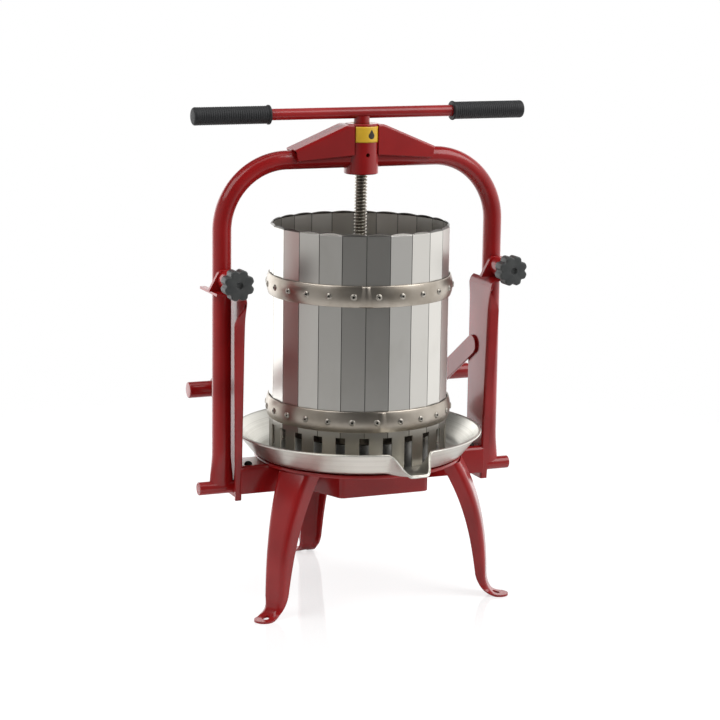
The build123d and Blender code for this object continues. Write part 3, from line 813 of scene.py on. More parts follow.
# %% Screw thread
spindle_low, spindle_high = span("spindle")
spindle_radius = spindle_high[0]
THREAD_PITCH = 4.0
THREAD_DEPTH = 2.2
THREAD_STEPS = 12
FLANK_SLOPE, CREST_SHARE = 2.2, 0.6


def screw_thread():
    """Radius = crest - depth x groove, where groove is a clipped triangle wave of height/pitch - turns."""
    rows = int((spindle_high[2] - spindle_low[2]) / THREAD_PITCH * THREAD_STEPS)
    z = np.linspace(spindle_low[2], spindle_high[2], rows)[:, None]
    angle = np.linspace(0, 2 * np.pi, 40, endpoint=False)
    phase = (z / THREAD_PITCH - angle / (2 * np.pi)) % 1
    groove = np.clip(FLANK_SLOPE * np.abs(2 * phase - 1) - CREST_SHARE, 0, 1)
    run_out = ease((z - spindle_low[2]) / THREAD_PITCH)
    groove = groove * run_out
    radius = spindle_radius - THREAD_DEPTH * groove
    points = np.stack([radius * np.cos(angle), radius * np.sin(angle), z + 0 * angle], axis=-1)
    return table(points, round_cols=True, ends=True), groove.ravel()


thread, groove_depth = screw_thread()
screw = new_piece("screw_thread", thread, "screw", "screw_steel", ["spindle"])
depth = screw.data.attributes.new("depth", "FLOAT", "POINT")
depth.data.foreach_set("value", groove_depth.astype(np.float32))
print("thread of", len(screw.data.polygons), "faces")

# %% [markdown]
# Grips
#
# Each grip is a rubber sleeve pushed on the bar: a collar at its inner end, fine ribs that a hand can
# hold, and a rounded closed end. The ribs are a cosine on the turned profile, so one formula makes them.

# %% Grips
grip_low, grip_high = span("grip_right")
bar_z = (grip_low[2] + grip_high[2]) / 2
collar_radius = (grip_high[2] - grip_low[2]) / 2
GRIP_RADIUS = 10.75
GRIP_COLLAR, COLLAR_FLAT, COLLAR_ROUNDS = 3.0, 0.8, [0, 0.9, 0.7, 0]
GRIP_ROUND = 3.0
RIB_PITCH = 2.8
RIB_DEPTH = 0.4
RIB_FADE = 3 * RIB_PITCH


def grip_sleeve():
    """Turned about x: a collar, a run of radius R - depth (1 + cos(2 pi x / pitch)) / 2, and a round end."""
    run = np.linspace(grip_low[0] + GRIP_COLLAR, grip_high[0] - GRIP_ROUND, 420)
    fade = ease((run - run[0]) / RIB_PITCH) * ease((run[-1] - run) / RIB_FADE)
    ribs = GRIP_RADIUS - RIB_DEPTH * fade * (1 + np.cos(2 * np.pi * run / RIB_PITCH)) / 2
    flat_end = grip_low[0] + GRIP_COLLAR * COLLAR_FLAT
    collar = soften([(0, grip_low[0]), (collar_radius, grip_low[0]), (collar_radius, flat_end),
                     (GRIP_RADIUS, run[0])], COLLAR_ROUNDS)
    turn = np.linspace(0, np.pi / 2, 10)[1:]
    cap = np.stack([GRIP_RADIUS - GRIP_ROUND + GRIP_ROUND * np.cos(turn),
                    grip_high[0] - GRIP_ROUND + GRIP_ROUND * np.sin(turn)], axis=-1)
    profile = np.concatenate([collar, np.stack([ribs, run], axis=-1), cap, [(0, grip_high[0])]])
    return turned(profile, "X", (0, 0, bar_z), steps=56)


pair("grip", grip_sleeve(), "screw", "grip_rubber")
print("grip from x", grip_low[0], "to", grip_high[0])

# %% [markdown]
# Star knobs
#
# A moulded knob with eight round lobes on a neck. Seen from the front its edge is a wave round the stud;
# from the side it is a turned profile. Multiplying the two gives the whole knob: the wave counts fully
# at the rim and fades towards the neck and the dimple in the middle.

# %% Star knobs
KNOB_LOBES = 8
KNOB_NECK = 11.5
KNOB_NECK_LENGTH = 8.0
KNOB_VALLEY = 0.17
KNOB_DIMPLE, DIMPLE_FLOOR = 4.5, 3.6
KNOB_DIMPLE_DEPTH = 3.0
KNOB_ROUNDS = [0, 1.0, 1.5, 2.4, 2.4, 0.8, 0.8, 0]
KNOB_RIM = 1.0
LOBE_SHARPNESS = 2.2
NECK_GAP = 0.2
knob_radius = (knob_high[0] - knob_low[0]) / 2
knob_front = knob_low[1]
neck_back = span("clamp_lug_right")[0][1] - NECK_GAP
knob_back = neck_back - KNOB_NECK_LENGTH


def star_knob():
    """Radius = profile x (1 - valley x weight x dip), where dip is a sharp wave with a trough per valley."""
    dimple_at = knob_front + KNOB_DIMPLE_DEPTH
    profile = soften(
        [(0, neck_back), (KNOB_NECK, neck_back), (KNOB_NECK, knob_back), (knob_radius, knob_back),
         (knob_radius, knob_front), (KNOB_DIMPLE, knob_front), (DIMPLE_FLOOR, dimple_at), (0, dimple_at)],
        KNOB_ROUNDS, steps=7)
    radius, y = profile.T[:, :, None]
    angle = np.linspace(0, 2 * np.pi, 160, endpoint=False)
    dip = (0.5 + 0.5 * np.cos(KNOB_LOBES * angle)) ** LOBE_SHARPNESS
    weight = ease((radius - KNOB_NECK) / (knob_radius - KNOB_NECK - KNOB_RIM))
    reach = radius * (1 - KNOB_VALLEY * weight * dip)
    x, z = tube_x + reach * np.sin(angle), stud_z + reach * np.cos(angle)
    return table(np.stack([x, y + 0 * angle, z], axis=-1), round_cols=True)


knob = star_knob()
new_piece("right_star_knob", knob, "right_knob", "knob_plastic", ["knob_right"])
new_piece("left_star_knob", mirrored(knob), "left_knob", "knob_plastic", ["knob_left"])
print("knob of radius", knob_radius, "from y", knob_back, "to", knob_front)

# %% [markdown]
# Clamp studs
#
# A steel stud is moulded into each knob and runs through the lug towards the yoke tube. It is a plain turned
# rod: its thread sits out of sight in the lug.

# %% Clamp studs
STUD_RADIUS, STUD_EDGE = 5.0, 0.8
stud_profile = soften(
    [(0, neck_back), (STUD_RADIUS, neck_back), (STUD_RADIUS, knob_high[1]), (0, knob_high[1])], STUD_EDGE)
stud = turned(stud_profile, "Y", (tube_x, 0, stud_z), steps=40)
new_piece("right_clamp_stud", stud, "right_knob", "black_steel")
new_piece("left_clamp_stud", mirrored(stud), "left_knob", "black_steel")
print("stud from y", neck_back, "to", knob_high[1])

# %% [markdown]
# Clamp lugs
#
# Each knob's stud runs in a lug: a tapered plate on the upright's tongue, with a turned boss. A plate is an
# outline lifted to a thickness, with its edges broken by a bevel, so a prism and a turned boss are enough.

# %% Clamp lugs
lug_low, lug_high = span("clamp_lug_right")
LUG_THICK = 6.0
LUG_HEAD = 19.0
LUG_BOSS, LUG_BOSS_EDGE, LUG_BOSS_INSET = 12.0, 0.8, 1.0
LUG_FOOT_ROUND, LUG_HEAD_ROUND = 1.0, 5.0
lug_foot = (lug_high[0] - lug_low[0]) / 2
lug_outline = soften(
    [(lug_low[2], tube_x - lug_foot), (lug_low[2], tube_x + lug_foot), (lug_high[2], tube_x + LUG_HEAD / 2),
     (lug_high[2], tube_x - LUG_HEAD / 2)],
    [LUG_FOOT_ROUND, LUG_FOOT_ROUND, LUG_HEAD_ROUND, LUG_HEAD_ROUND], closed=True)
lug_plate = prism(lug_outline, lug_high[1] - LUG_THICK, lug_high[1], "Y")
boss_back = lug_high[1] - LUG_BOSS_INSET
boss_profile = soften(
    [(0, lug_low[1]), (LUG_BOSS, lug_low[1]), (LUG_BOSS, boss_back), (0, boss_back)], LUG_BOSS_EDGE)
lug_boss = turned(boss_profile, "Y", (tube_x, 0, stud_z), steps=64)
pair("clamp_lug", joined(lug_plate, lug_boss), "base", "red_paint", edge=0.8)
print("lug", 2 * lug_foot, "mm wide at its foot")

# %% [markdown]
# Tilt stops
#
# A flat bar with round ends slopes back from each upright and carries a peg, which the yoke rests on when it
# is swung back. The bar's outline is two half circles joined by straight sides, and the peg is turned.

# %% Tilt stops
stop_low, stop_high = span("tilt_stop_right")
STOP_SHEET = 3.0
STOP_BAR = 12.0
STOP_PEG, STOP_PEG_EDGE, STOP_PEG_INSET = 10.0, 1.4, 0.5
stop_ends = np.array([[stop_low[1] + STOP_BAR, stop_high[2] - STOP_BAR],
                      [stop_high[1] - STOP_BAR, stop_low[2] + STOP_BAR]])


def stop_bar():
    """A slot-shaped outline: a half circle round each end of a line, joined by straight sides."""
    run = stop_ends[1] - stop_ends[0]
    heading = np.arctan2(run[1], run[0])
    half = heading + np.linspace(-np.pi / 2, np.pi / 2, 20)
    arc = STOP_BAR * np.stack([np.cos(half), np.sin(half)], axis=-1)
    outline = np.concatenate([stop_ends[1] + arc, stop_ends[0] - arc])
    return prism(outline, stop_low[0], stop_low[0] + STOP_SHEET, "X")


peg_root = stop_low[0] + STOP_PEG_INSET
peg_profile = soften(
    [(0, peg_root), (STOP_PEG, peg_root), (STOP_PEG, stop_high[0]), (0, stop_high[0])], STOP_PEG_EDGE)
peg = turned(peg_profile, "X", (0, *stop_ends[1]), steps=56)
pair("tilt_stop", joined(stop_bar(), peg), "base", "red_paint", edge=0.6)
print("stop bar", round(np.linalg.norm(stop_ends[1] - stop_ends[0]), 1), "mm between its round ends")

# %% [markdown]
# Arm bolts
#
# A domed bolt head holds each arm. A turned profile with a quarter ellipse for the dome makes it.

# %% Arm bolts
bolt_low, bolt_high = span("arm_bolts")
BOLT_DOME = 4.5
bolt_radius = (bolt_high[1] - bolt_low[1]) / 2
bolt_y = (bolt_high[1] + bolt_low[1]) / 2
bolt_x = bolt_high[0] - bolt_radius
dome = np.linspace(0, np.pi / 2, 12)
bolt_profile = np.concatenate(
    [[(0, bolt_low[2]), (bolt_radius, bolt_low[2])],
     np.stack([bolt_radius * np.cos(dome), bolt_high[2] + BOLT_DOME * (np.sin(dome) - 1)], axis=-1)])
right_bolt = turned(bolt_profile, centre=(bolt_x, bolt_y, 0), steps=40)
new_piece("arm_bolt_heads", joined(right_bolt, mirrored(right_bolt)), "base", "black_steel", ["arm_bolts"])
print("bolt heads of radius", round(bolt_radius, 2), "at x", round(bolt_x, 1))

# %% [markdown]
# Uprights
#
# Each upright is folded from one strip: a web with a deep front flange and a shallow rear one, which taper
# away where the web turns outwards into a level tongue. The strip is a table: columns go across the
# fold, rows climb the web and then follow the bend. The slot for the tube is cut out afterwards.

# %% Uprights
upright_low, upright_high = span("upright_right")
UPRIGHT_SHEET = 3.0
UPRIGHT_BEND = 13.0
FRONT_FLANGE, REAR_FLANGE = 14.5, 6.0
FLANGE_FOOT = 0.58
FRONT_LEAN, FRONT_FLARE, FLARE_RUN = 13.0, 2.5, 34.0
FLANGE_TAPER = 28.0
FLANGE_FOLD = 4.0
NOTCH_GAP = 1.0
TONGUE_TRIM = 5.0
upright_half = upright_high[1]
web_top = upright_high[2] - UPRIGHT_BEND


def upright_strip():
    """Rows follow web, bend and tongue; across a row the flanges stand out and fade over the taper; the
    front edge leans forward towards the top and its flange is narrower at the foot."""
    climb = np.concatenate([np.linspace(upright_low[2], web_top - FLANGE_TAPER, 10),
                            np.linspace(web_top - FLANGE_TAPER, web_top, 10)[1:]])
    bend = np.linspace(0, np.pi / 2, 12)[1:]
    tongue = np.linspace(upright_low[0] + UPRIGHT_BEND, upright_high[0] - TONGUE_TRIM, 6)[1:]
    turned_out = upright_low[0] + UPRIGHT_BEND * (1 - np.cos(bend))
    x = np.concatenate([0 * climb + upright_low[0], turned_out, tongue])
    z = np.concatenate([climb, web_top + UPRIGHT_BEND * np.sin(bend), 0 * tongue + upright_high[2]])
    stand = ease((web_top - climb) / FLANGE_TAPER)
    stand = np.concatenate([stand, np.zeros(len(x) - len(climb))])[:, None]
    fold = soften(
        [(FRONT_FLANGE, -upright_half), (0, -upright_half), (0, upright_half), (REAR_FLANGE, upright_half)],
        [0, FLANGE_FOLD, FLANGE_FOLD, 0], steps=8)
    out, y = fold[:, 0], fold[:, 1]
    share = ((z[:, None] - upright_low[2]) / (web_top - upright_low[2])).clip(0, 1)
    ahead = FRONT_LEAN * share + FRONT_FLARE * ease((z[:, None] - web_top + FLARE_RUN) / FLARE_RUN)
    wider = y - ahead * (upright_half - y) / (2 * upright_half)
    narrow = np.where(y < 0, FLANGE_FOOT + (1 - FLANGE_FOOT) * share, 1)
    points = np.stack([x[:, None] + out * narrow * stand, wider, z[:, None] + 0 * out], axis=-1)
    return table(points[:, ::-1])


notch = tube_radius + NOTCH_GAP
slot_turn = np.linspace(np.pi, 2 * np.pi, 32)
slot_outline = np.concatenate(
    [np.stack([tube_x + notch * np.cos(slot_turn), notch * np.sin(slot_turn)], axis=-1),
     [(tube_x + notch, 2 * upright_half), (tube_x - notch, 2 * upright_half)]])
tube_slot = prism(slot_outline, web_top, upright_high[2] + UPRIGHT_BEND)
pair("upright", upright_strip(), "base", "red_paint", sheet=UPRIGHT_SHEET, edge=0.6, cut=tube_slot)
print("upright from z", upright_low[2], "to", upright_high[2])

# %% [markdown]
# Ring bar
#
# Under the disc that carries the tray, a flat bar is bent into a six-sided ring. A curve with a bevel could
# follow the same hexagon; a four-cornered section carried round it keeps the bar's thickness on every side.

# %% Ring bar
ring_low, ring_high = span("hex_frame")
RING_BAR = 5.0
RING_BEND = 6.0
RING_FRONT = 57.0
RING_SIDE = 90.0
ring_deep = ring_high[1]
ring_slant = (RING_SIDE - RING_FRONT) / ring_deep


def ring_bar():
    """A hexagon with flat front and back, soft corners, and a rectangular section: outer, inner, low, high.

    The inner loop is the outer one moved in by the bar's thickness, square to each side.
    """
    across = RING_BAR * np.hypot(1, ring_slant)
    deep = ring_deep - RING_BAR
    outer = np.array([(RING_FRONT, ring_deep), (-RING_FRONT, ring_deep), (-RING_SIDE, 0)])
    inner_front = RING_SIDE - across - ring_slant * deep
    inner = np.array([(inner_front, deep), (-inner_front, deep), (-RING_SIDE + across, 0)])
    loops = [soften(np.concatenate([half, -half]), bend, closed=True, steps=9)
             for half, bend in ((outer, RING_BEND), (inner, RING_BEND - RING_BAR / 2))]
    levels = np.broadcast_to(np.array([ring_low[2], ring_high[2]])[:, None, None], (2, len(loops[0]), 1))
    corners = ((0, 0), (0, 1), (1, 1), (1, 0))
    section = [np.concatenate([loops[loop], levels[level]], axis=1) for loop, level in corners]
    return table(np.stack(section, axis=1), round_rows=True, round_cols=True)


new_piece("ring_bar", ring_bar(), "base", "red_paint", ["hex_frame"], edge=0.8)
print("ring bar", 2 * RING_SIDE, "by", 2 * ring_deep, "mm")

# %% [markdown]
# Arms
#
# Two arms reach from the ring out to the uprights. Each is folded from sheet into an upside-down channel, and
# its inner end is cut on the slant of the ring. The fold's outline, run along x with a start of its own for
# each column, gives both.

# %% Arms
arm_low, arm_high = span("frame_arm_right")
ARM_SHEET = 3.0
ARM_FOLD = 4.0
ARM_TUCK = 2.5


def channel_arm():
    """An upside-down channel: each line along it runs from the slanted side of the ring to the upright."""
    fold = soften([(arm_low[1], arm_low[2]), (arm_low[1], arm_high[2]), (arm_high[1], arm_high[2]),
                   (arm_high[1], arm_low[2])], [0, ARM_FOLD, ARM_FOLD, 0])
    y, z = fold.T
    start = RING_SIDE - np.abs(y) * ring_slant
    share = np.linspace(0, 1, 6)[:, None]
    end = arm_high[0] + ARM_TUCK
    return table(np.stack([start + (end - start) * share, y + 0 * share, z + 0 * share], axis=-1))


pair("frame_arm", channel_arm(), "base", "red_paint", sheet=ARM_SHEET, edge=0.5)
print("arm", arm_high[1] - arm_low[1], "mm wide and", arm_high[2] - arm_low[2], "mm deep")

# %% [markdown]
# Legs
#
# Each leg is pressed from sheet: a face that bows outwards and narrows on its way down, two flanges that
# fade towards the foot, and a foot that sweeps out to a round toe with a bolt hole. One table holds it:
# rows go down the face and out along the foot, columns go across from flange to flange, over soft folds.

# %% Legs
LEG_SHEET = 2.6
LEG_FOLD = 9.0
FACE_FOOT, FACE_HEAD, FACE_BOW = 164.0, 129.0, 2.8
HALF_FOOT, HALF_HEAD, HALF_BOW = 14.0, 23.0, 1.9
DEPTH_FOOT, DEPTH_HEAD, DEPTH_BOW = 6.5, 23.5, 0.6
LEG_DRAFT = 3.0
FOOT_SWEEP, FOOT_RISE = 16.0, 26.0
TOE_HALF, TOE_RUN = 12.0, 0.1
FOOT_HOLE, HOLE_FROM, HOLE_TO = 4.5, -5.0, 12.0
foot_hole_at = frame["record"]["mounts"][0]["dims"]["pcd_mm"] / 2
leg_top = span("leg_rear")[1][2]
LEG_ANGLES = {"leg_front_left": 210, "leg_front_right": 330, "leg_rear": 90}


def grown(foot, head, bow, share):
    """A size that grows from the foot to the head with a power of the height."""
    return foot + (head - foot) * share**bow


def leg_skin():
    """Down the face the radius, half width and depth follow a power of the height; then the face sweeps a
    quarter ellipse out to the foot, the flanges open and fade, and the toe closes as a half circle."""
    foot_z = LEG_SHEET + FOOT_RISE
    share = np.linspace(leg_top, foot_z, 40) / leg_top
    turn = np.linspace(0, np.pi / 2, 18)[1:]
    face = grown(FACE_FOOT, FACE_HEAD, FACE_BOW, share)
    sweep_half = np.linspace(grown(HALF_FOOT, HALF_HEAD, HALF_BOW, share[-1]), TOE_HALF, len(turn))
    toe_at = max(foot_hole_at, face[-1] + FOOT_SWEEP + TOE_RUN)
    out = np.concatenate([face, face[-1] + FOOT_SWEEP * (1 - np.cos(turn)), toe_at + TOE_HALF * np.sin(turn)])
    z = np.concatenate([share * leg_top, foot_z - FOOT_RISE * np.sin(turn), 0 * turn + LEG_SHEET])
    half = np.concatenate([grown(HALF_FOOT, HALF_HEAD, HALF_BOW, share), sweep_half, TOE_HALF * np.cos(turn)])
    depth = grown(DEPTH_FOOT, DEPTH_HEAD, DEPTH_BOW, share)
    fade = turn / turn[-1]
    depth = np.concatenate([depth, depth[-1] * (1 - fade), 0 * turn])
    lie = np.pi / 2 * np.concatenate([0 * share + 1, 1 - ease(fade), 0 * turn])
    draft = LEG_DRAFT * np.concatenate([share, share[-1] * (1 - fade), 0 * turn])
    swept = np.arctan2(FOOT_SWEEP * np.sin(turn), FOOT_RISE * np.cos(turn))
    tilt = np.concatenate([0 * share, swept, 0 * turn + np.pi / 2])[:, None]
    flat, drop = half - depth * np.cos(lie), depth * np.sin(lie)
    corners = np.stack([np.stack([-half - draft, -flat, flat, half + draft], axis=-1),
                        np.stack([drop, 0 * drop, 0 * drop, drop], axis=-1)], axis=-1)
    side, sunk = np.moveaxis(soften(corners, LEG_FOLD, steps=9), -1, 0)
    radius = out[:, None] - sunk * np.cos(tilt)
    height = z[:, None] - sunk * np.sin(tilt)
    return table(np.stack([radius, side, height], axis=-1)[::-1])


def turned_about(surface, degrees):
    """The surface turned round the press's own axis."""
    c, s = np.cos(np.radians(degrees)), np.sin(np.radians(degrees))
    return surface[0] @ np.array([[c, s, 0], [-s, c, 0], [0, 0, 1]]), *surface[1:]


leg = leg_skin()
hole_profile = [(0, HOLE_FROM), (FOOT_HOLE, HOLE_FROM), (FOOT_HOLE, HOLE_TO), (0, HOLE_TO)]
bolt_hole = turned(hole_profile, centre=(foot_hole_at, 0, 0), steps=32)
for leg_name, degrees in LEG_ANGLES.items():
    new_piece(f"pressed_{leg_name}", turned_about(leg, degrees), "base", "red_paint", [leg_name],
              sheet=LEG_SHEET, edge=0.5, cut=turned_about(bolt_hole, degrees))
print("leg face", 2 * HALF_FOOT, "to", 2 * HALF_HEAD, "mm wide")

# %% [markdown]
# The tray
#
# The tray is a dish with a flared wall, pressed out at the front into a pouring lip. Start from the dish's
# profile on a table of angle and distance; near the front a bell-shaped weight pulls the wall outwards and
# down, and it counts more the nearer a point is to the rim, so floor, wall and rim flow into the spout.

# %% Tray
tray_low = span("tray")[0]
TRAY_SHEET = 1.8
TRAY_FLOOR, TRAY_RIM = 128.0, 152.0
TRAY_HEIGHT = 30.0
TRAY_CORNER, CORNER_STEPS = 9.0, 10
TRAY_BEAD, BEAD_SINK = 1.2, 0.4
SPOUT_HALF = 34.0
SPOUT_SHIFT = 5.5
SPOUT_FROM, SPOUT_TO = -2.0, -1.1
SPOUT_FULL = 1.15
LIP_DROP = 22.0
tray_rim_z = tray_low[2] + TRAY_HEIGHT
spout_reach = -tray_low[1] - TRAY_RIM - TRAY_BEAD


def tray_skin():
    """Dish profile (floor, corner, wall) round the axis; a bell of the angle moves the wall out by its share
    of the way to the rim, and down by its share of the rise, so the spout never sinks below the floor. The
    columns stand closer round the spout."""
    middle, corner, rim = np.array([(0, tray_low[2]), (TRAY_FLOOR, tray_low[2]), (TRAY_RIM, tray_rim_z)])
    bend = soften([middle, corner, rim], TRAY_CORNER, steps=CORNER_STEPS)[CORNER_STEPS:2 * CORNER_STEPS]
    floor = middle + np.linspace(0, 1, 8)[:, None] * (bend[0] - middle)
    wall = bend[-1] + np.linspace(0, 1, 16)[:, None] * (rim - bend[-1])
    profile = np.concatenate([floor, bend[1:-1], wall])
    stretches = ((-np.pi, SPOUT_FROM, 40), (SPOUT_FROM, SPOUT_TO, 90), (SPOUT_TO, np.pi, 120))
    angle = np.concatenate([np.linspace(*stretch, endpoint=False) for stretch in stretches])
    radius, z = profile.T[:, :, None]
    aside = (TRAY_RIM * np.cos(angle) - SPOUT_SHIFT) / SPOUT_HALF
    bell = np.where(np.sin(angle) < 0, np.cos(np.clip(aside, -1, 1) * np.pi / 2) ** 2, 0)
    bell = ease(bell * SPOUT_FULL)
    share = np.clip((radius - TRAY_FLOOR + TRAY_CORNER) / (TRAY_RIM - TRAY_FLOOR + TRAY_CORNER), 0, 1)
    out = radius + bell * share * spout_reach
    height = z - bell * LIP_DROP * (z - tray_low[2]) / TRAY_HEIGHT
    return np.stack([out * np.cos(angle), out * np.sin(angle), height + 0 * angle], axis=-1)


def rim_bead(rim):
    """A round bar along the rim: rim + r (cos a outwards + sin a upwards), a little below the edge."""
    angle = np.linspace(0, 2 * np.pi, 14, endpoint=False)[None, :, None]
    outward = rim / np.linalg.norm(rim[:, :2], axis=1, keepdims=True) * [1, 1, 0]
    ring = np.cos(angle) * outward[:, None] + np.sin(angle) * np.array([0.0, 0.0, 1.0])
    return (rim - [0, 0, TRAY_BEAD * BEAD_SINK])[:, None] + TRAY_BEAD * ring


tray_points = tray_skin()
bead_points = rim_bead(tray_points[-1])
new_piece("drawn_tray", table(tray_points, round_cols=True), "base", "tray_steel", ["tray"], sheet=TRAY_SHEET)
new_piece("tray_rim_bead", table(bead_points, round_rows=True, round_cols=True), "base", "tray_steel")
print("spout reaches", round(spout_reach, 1), "mm past the rim")

# %% [markdown]
# Staves
#
# A stave is a strip of sheet with a narrow foot, so that slots open between neighbours, and an arched lip
# that is folded inwards at the top. All staves share one table; each copy is turned to its place round the
# cage and stands for its own CAD node.

# %% Staves
STAVE_SHEET = 1.5
STAVE_GAP = 0.35
DRAIN_WIDTH, DRAIN_HEIGHT = 11.7, 39.0
LIP_HEIGHT, LIP_LEAN, LIP_CORNER, LIP_CURL = 3.6, np.radians(30), 0.55, 0.3
FOLD_RUN = 0.6
CAGE_RADIUS = 110.0
cage_floor = stave_low[2]
stave_face = CAGE_RADIUS * np.cos(np.pi / STAVES)
stave_half = CAGE_RADIUS * np.sin(np.pi / STAVES) - STAVE_GAP / 2
foot_half = stave_half - (DRAIN_WIDTH - STAVE_GAP) / 2
drain_top = cage_floor + DRAIN_HEIGHT
fold_z = stave_high[2] - LIP_HEIGHT * np.cos(LIP_LEAN)


def stave_skin():
    """Foot and body are flat strips that share columns; the lip rises as an arch (1 - s^2) and leans in."""
    inner = np.linspace(-foot_half, foot_half, 9)
    wide = np.concatenate([[-stave_half], inner, [stave_half]])
    foot_rows = np.linspace(cage_floor, drain_top, 5)
    body_rows = np.append(np.linspace(drain_top, fold_z - FOLD_RUN, 8), fold_z)
    foot = np.stack(np.broadcast_arrays(stave_face, inner, foot_rows[:, None]), axis=-1)
    body = np.stack(np.broadcast_arrays(stave_face, wide, body_rows[:, None]), axis=-1)
    arch = LIP_CORNER + (1 - LIP_CORNER) * (1 - (wide / stave_half) ** 2)
    share = np.linspace(0, 1, 5)[:, None]
    climb = share * arch * LIP_HEIGHT
    lean = LIP_LEAN * share**LIP_CURL
    inwards, upwards = stave_face - climb * np.sin(lean), fold_z + climb * np.cos(lean)
    lip = np.stack([inwards, wide + 0 * climb, upwards], axis=-1)
    return joined(table(foot), table(body), table(lip))


stave = stave_skin()
for number in range(STAVES):
    turn = np.degrees(first_stave) + number * 360 / STAVES
    new_piece(f"cut_stave_{number + 1:02d}", turned_about(stave, turn), "cage", "cage_steel",
              [f"stave_{number + 1:02d}"], sheet=STAVE_SHEET, edge=0.3)
print("stave", round(2 * stave_half, 1), "mm wide, foot", round(2 * foot_half, 1))

# %% [markdown]
# Hoops
#
# Two crowned bands hold the staves. Each is rolled from strip and its end laps over its start, which
# shows as a raised patch. The band is a turned section, and the patch is a small table laid over it.

# %% Hoops
HOOP_SHEET = 1.5
HOOP_CROWN = 2.5
HOOP_EDGE = 0.6
LAP_HALF, LAP_FLARE, LAP_SINK = np.radians(4.4), 0.18, 0.05
LAPS = {"hoop_upper": (-108.65, 1.2), "hoop_lower": (-98.0, 0.6)}


def hoop_outline(low, high, inner, thickness):
    """Section of a crowned band: an arched outer side and an arched inner side, edges broken."""
    share = np.linspace(-1, 1, 15)
    crown = HOOP_CROWN * (1 - share**2)
    z = (low + high) / 2 + share * (high - low) / 2
    outer = np.stack([inner + thickness + crown, z], axis=-1)
    inside = np.stack([inner + crown, z], axis=-1)[::-1]
    return soften(np.concatenate([outer, inside]), HOOP_EDGE, closed=True, steps=3)


def lap_patch(low, high, inner, angle, proud):
    """The lapped end: the crown's own curve, wider at its foot, lifted by a ridge that eases in from the
    sides."""
    across = np.linspace(-1, 1, 25)
    up = np.linspace(-1, 1, 15)[:, None]
    lift = proud * ease(1 - np.abs(across))
    reach = inner + HOOP_SHEET + HOOP_CROWN * (1 - up**2) + lift - LAP_SINK
    turn = np.radians(angle) + across * LAP_HALF * (1 - LAP_FLARE * (1 + up))
    z = (low + high) / 2 + up * (high - low) / 2
    return table(np.stack([reach * np.cos(turn), reach * np.sin(turn), z + 0 * turn], axis=-1))


hoop_middles = []
for hoop_name, (lap_angle, lap_proud) in LAPS.items():
    hoop_low, hoop_high = span(hoop_name)
    hoop_inner = hoop_high[0] - HOOP_SHEET - HOOP_CROWN
    hoop_middles.append((hoop_low[2] + hoop_high[2]) / 2)
    section = hoop_outline(hoop_low[2], hoop_high[2], hoop_inner, HOOP_SHEET)
    new_piece(f"rolled_{hoop_name}", turned(section, steps=192, ring=True), "cage", "cage_steel", [hoop_name],
              finish="rolled_steel")
    lap = lap_patch(hoop_low[2], hoop_high[2], hoop_inner, lap_angle, lap_proud)
    new_piece(f"{hoop_name}_lap", lap, "cage", "cage_steel", sheet=lap_proud, finish="rolled_steel")
print("hoops with their middles at z", np.round(hoop_middles, 1))

# %% [markdown]
# Rivets
#
# A blind rivet at every stave has a domed flange and, in its hole, the end of its pin, black as painted
# shade for the hole. One turned rivet of few faces is copied round both hoops, since a detail that
# repeats so often has to stay light.

# %% Rivets
RIVET_HEAD, RIVET_EDGE, RIVET_SINK = 3.9, 0.4, 0.15
SHOULDER_SHARE, SHOULDER_RISE, CROWN_SHARE = 0.78, 1.2, 0.5
RIVET_DOME, RIVET_HOLE, HOLE_LIP, HOLE_FLOOR = 1.5, 1.5, 1.275, 0.5
PIN_FOOT, PIN_SHOULDER, PIN_TOP = 0.45, 0.8, 0.9
PIN_FIT, PIN_TAPER = 0.98, 0.9
rivet_seat = hoop_inner + HOOP_SHEET + HOOP_CROWN - RIVET_SINK


def around_cage(surface):
    """Copies of a surface made on the x axis: one for every stave, at the middle of each hoop."""
    turns = np.degrees(first_stave) + np.arange(STAVES) * 360 / STAVES
    lifted = [(surface[0] + [0, 0, z], *surface[1:]) for z in hoop_middles]
    return joined(*[turned_about(level, turn) for level in lifted for turn in turns])


rivet_profile = [
    (0, 0), (RIVET_HEAD, 0), (RIVET_HEAD, RIVET_EDGE), (RIVET_HEAD * SHOULDER_SHARE, SHOULDER_RISE),
    (RIVET_HEAD * CROWN_SHARE, RIVET_DOME), (RIVET_HOLE, HOLE_LIP), (RIVET_HOLE, HOLE_FLOOR), (0, HOLE_FLOOR)]
rivet = turned(rivet_profile, "X", (rivet_seat, 0, 0), steps=20)
pin_profile = [(0, PIN_FOOT), (RIVET_HOLE * PIN_FIT, PIN_FOOT), (RIVET_HOLE * PIN_TAPER, PIN_SHOULDER),
               (0, PIN_TOP)]
pin = turned(pin_profile, "X", (rivet_seat, 0, 0), steps=12)
new_piece("blind_rivets", around_cage(rivet), "cage", "rivet_steel", ["hoop_rivets"])
# The pins are real, and their black also stands in as painted shade in the rivets' holes.
new_piece("rivet_pins", around_cage(pin), "cage", "black_steel")
print("rivets:", STAVES * len(hoop_middles))

# %% [markdown]
# The room
#
# The press stands in a white studio. The camera sees a plain white backdrop. The room that the steel mirrors
# is bright on the right and behind, with a window there, and darker where the camera stands, which is what
# gives flat steel its grey tones. Its ceiling is dim, so that level tops stay deep red, apart from a small
# skylight. A photographed room could do the same; a sum on the direction is lighter and easy to tune.

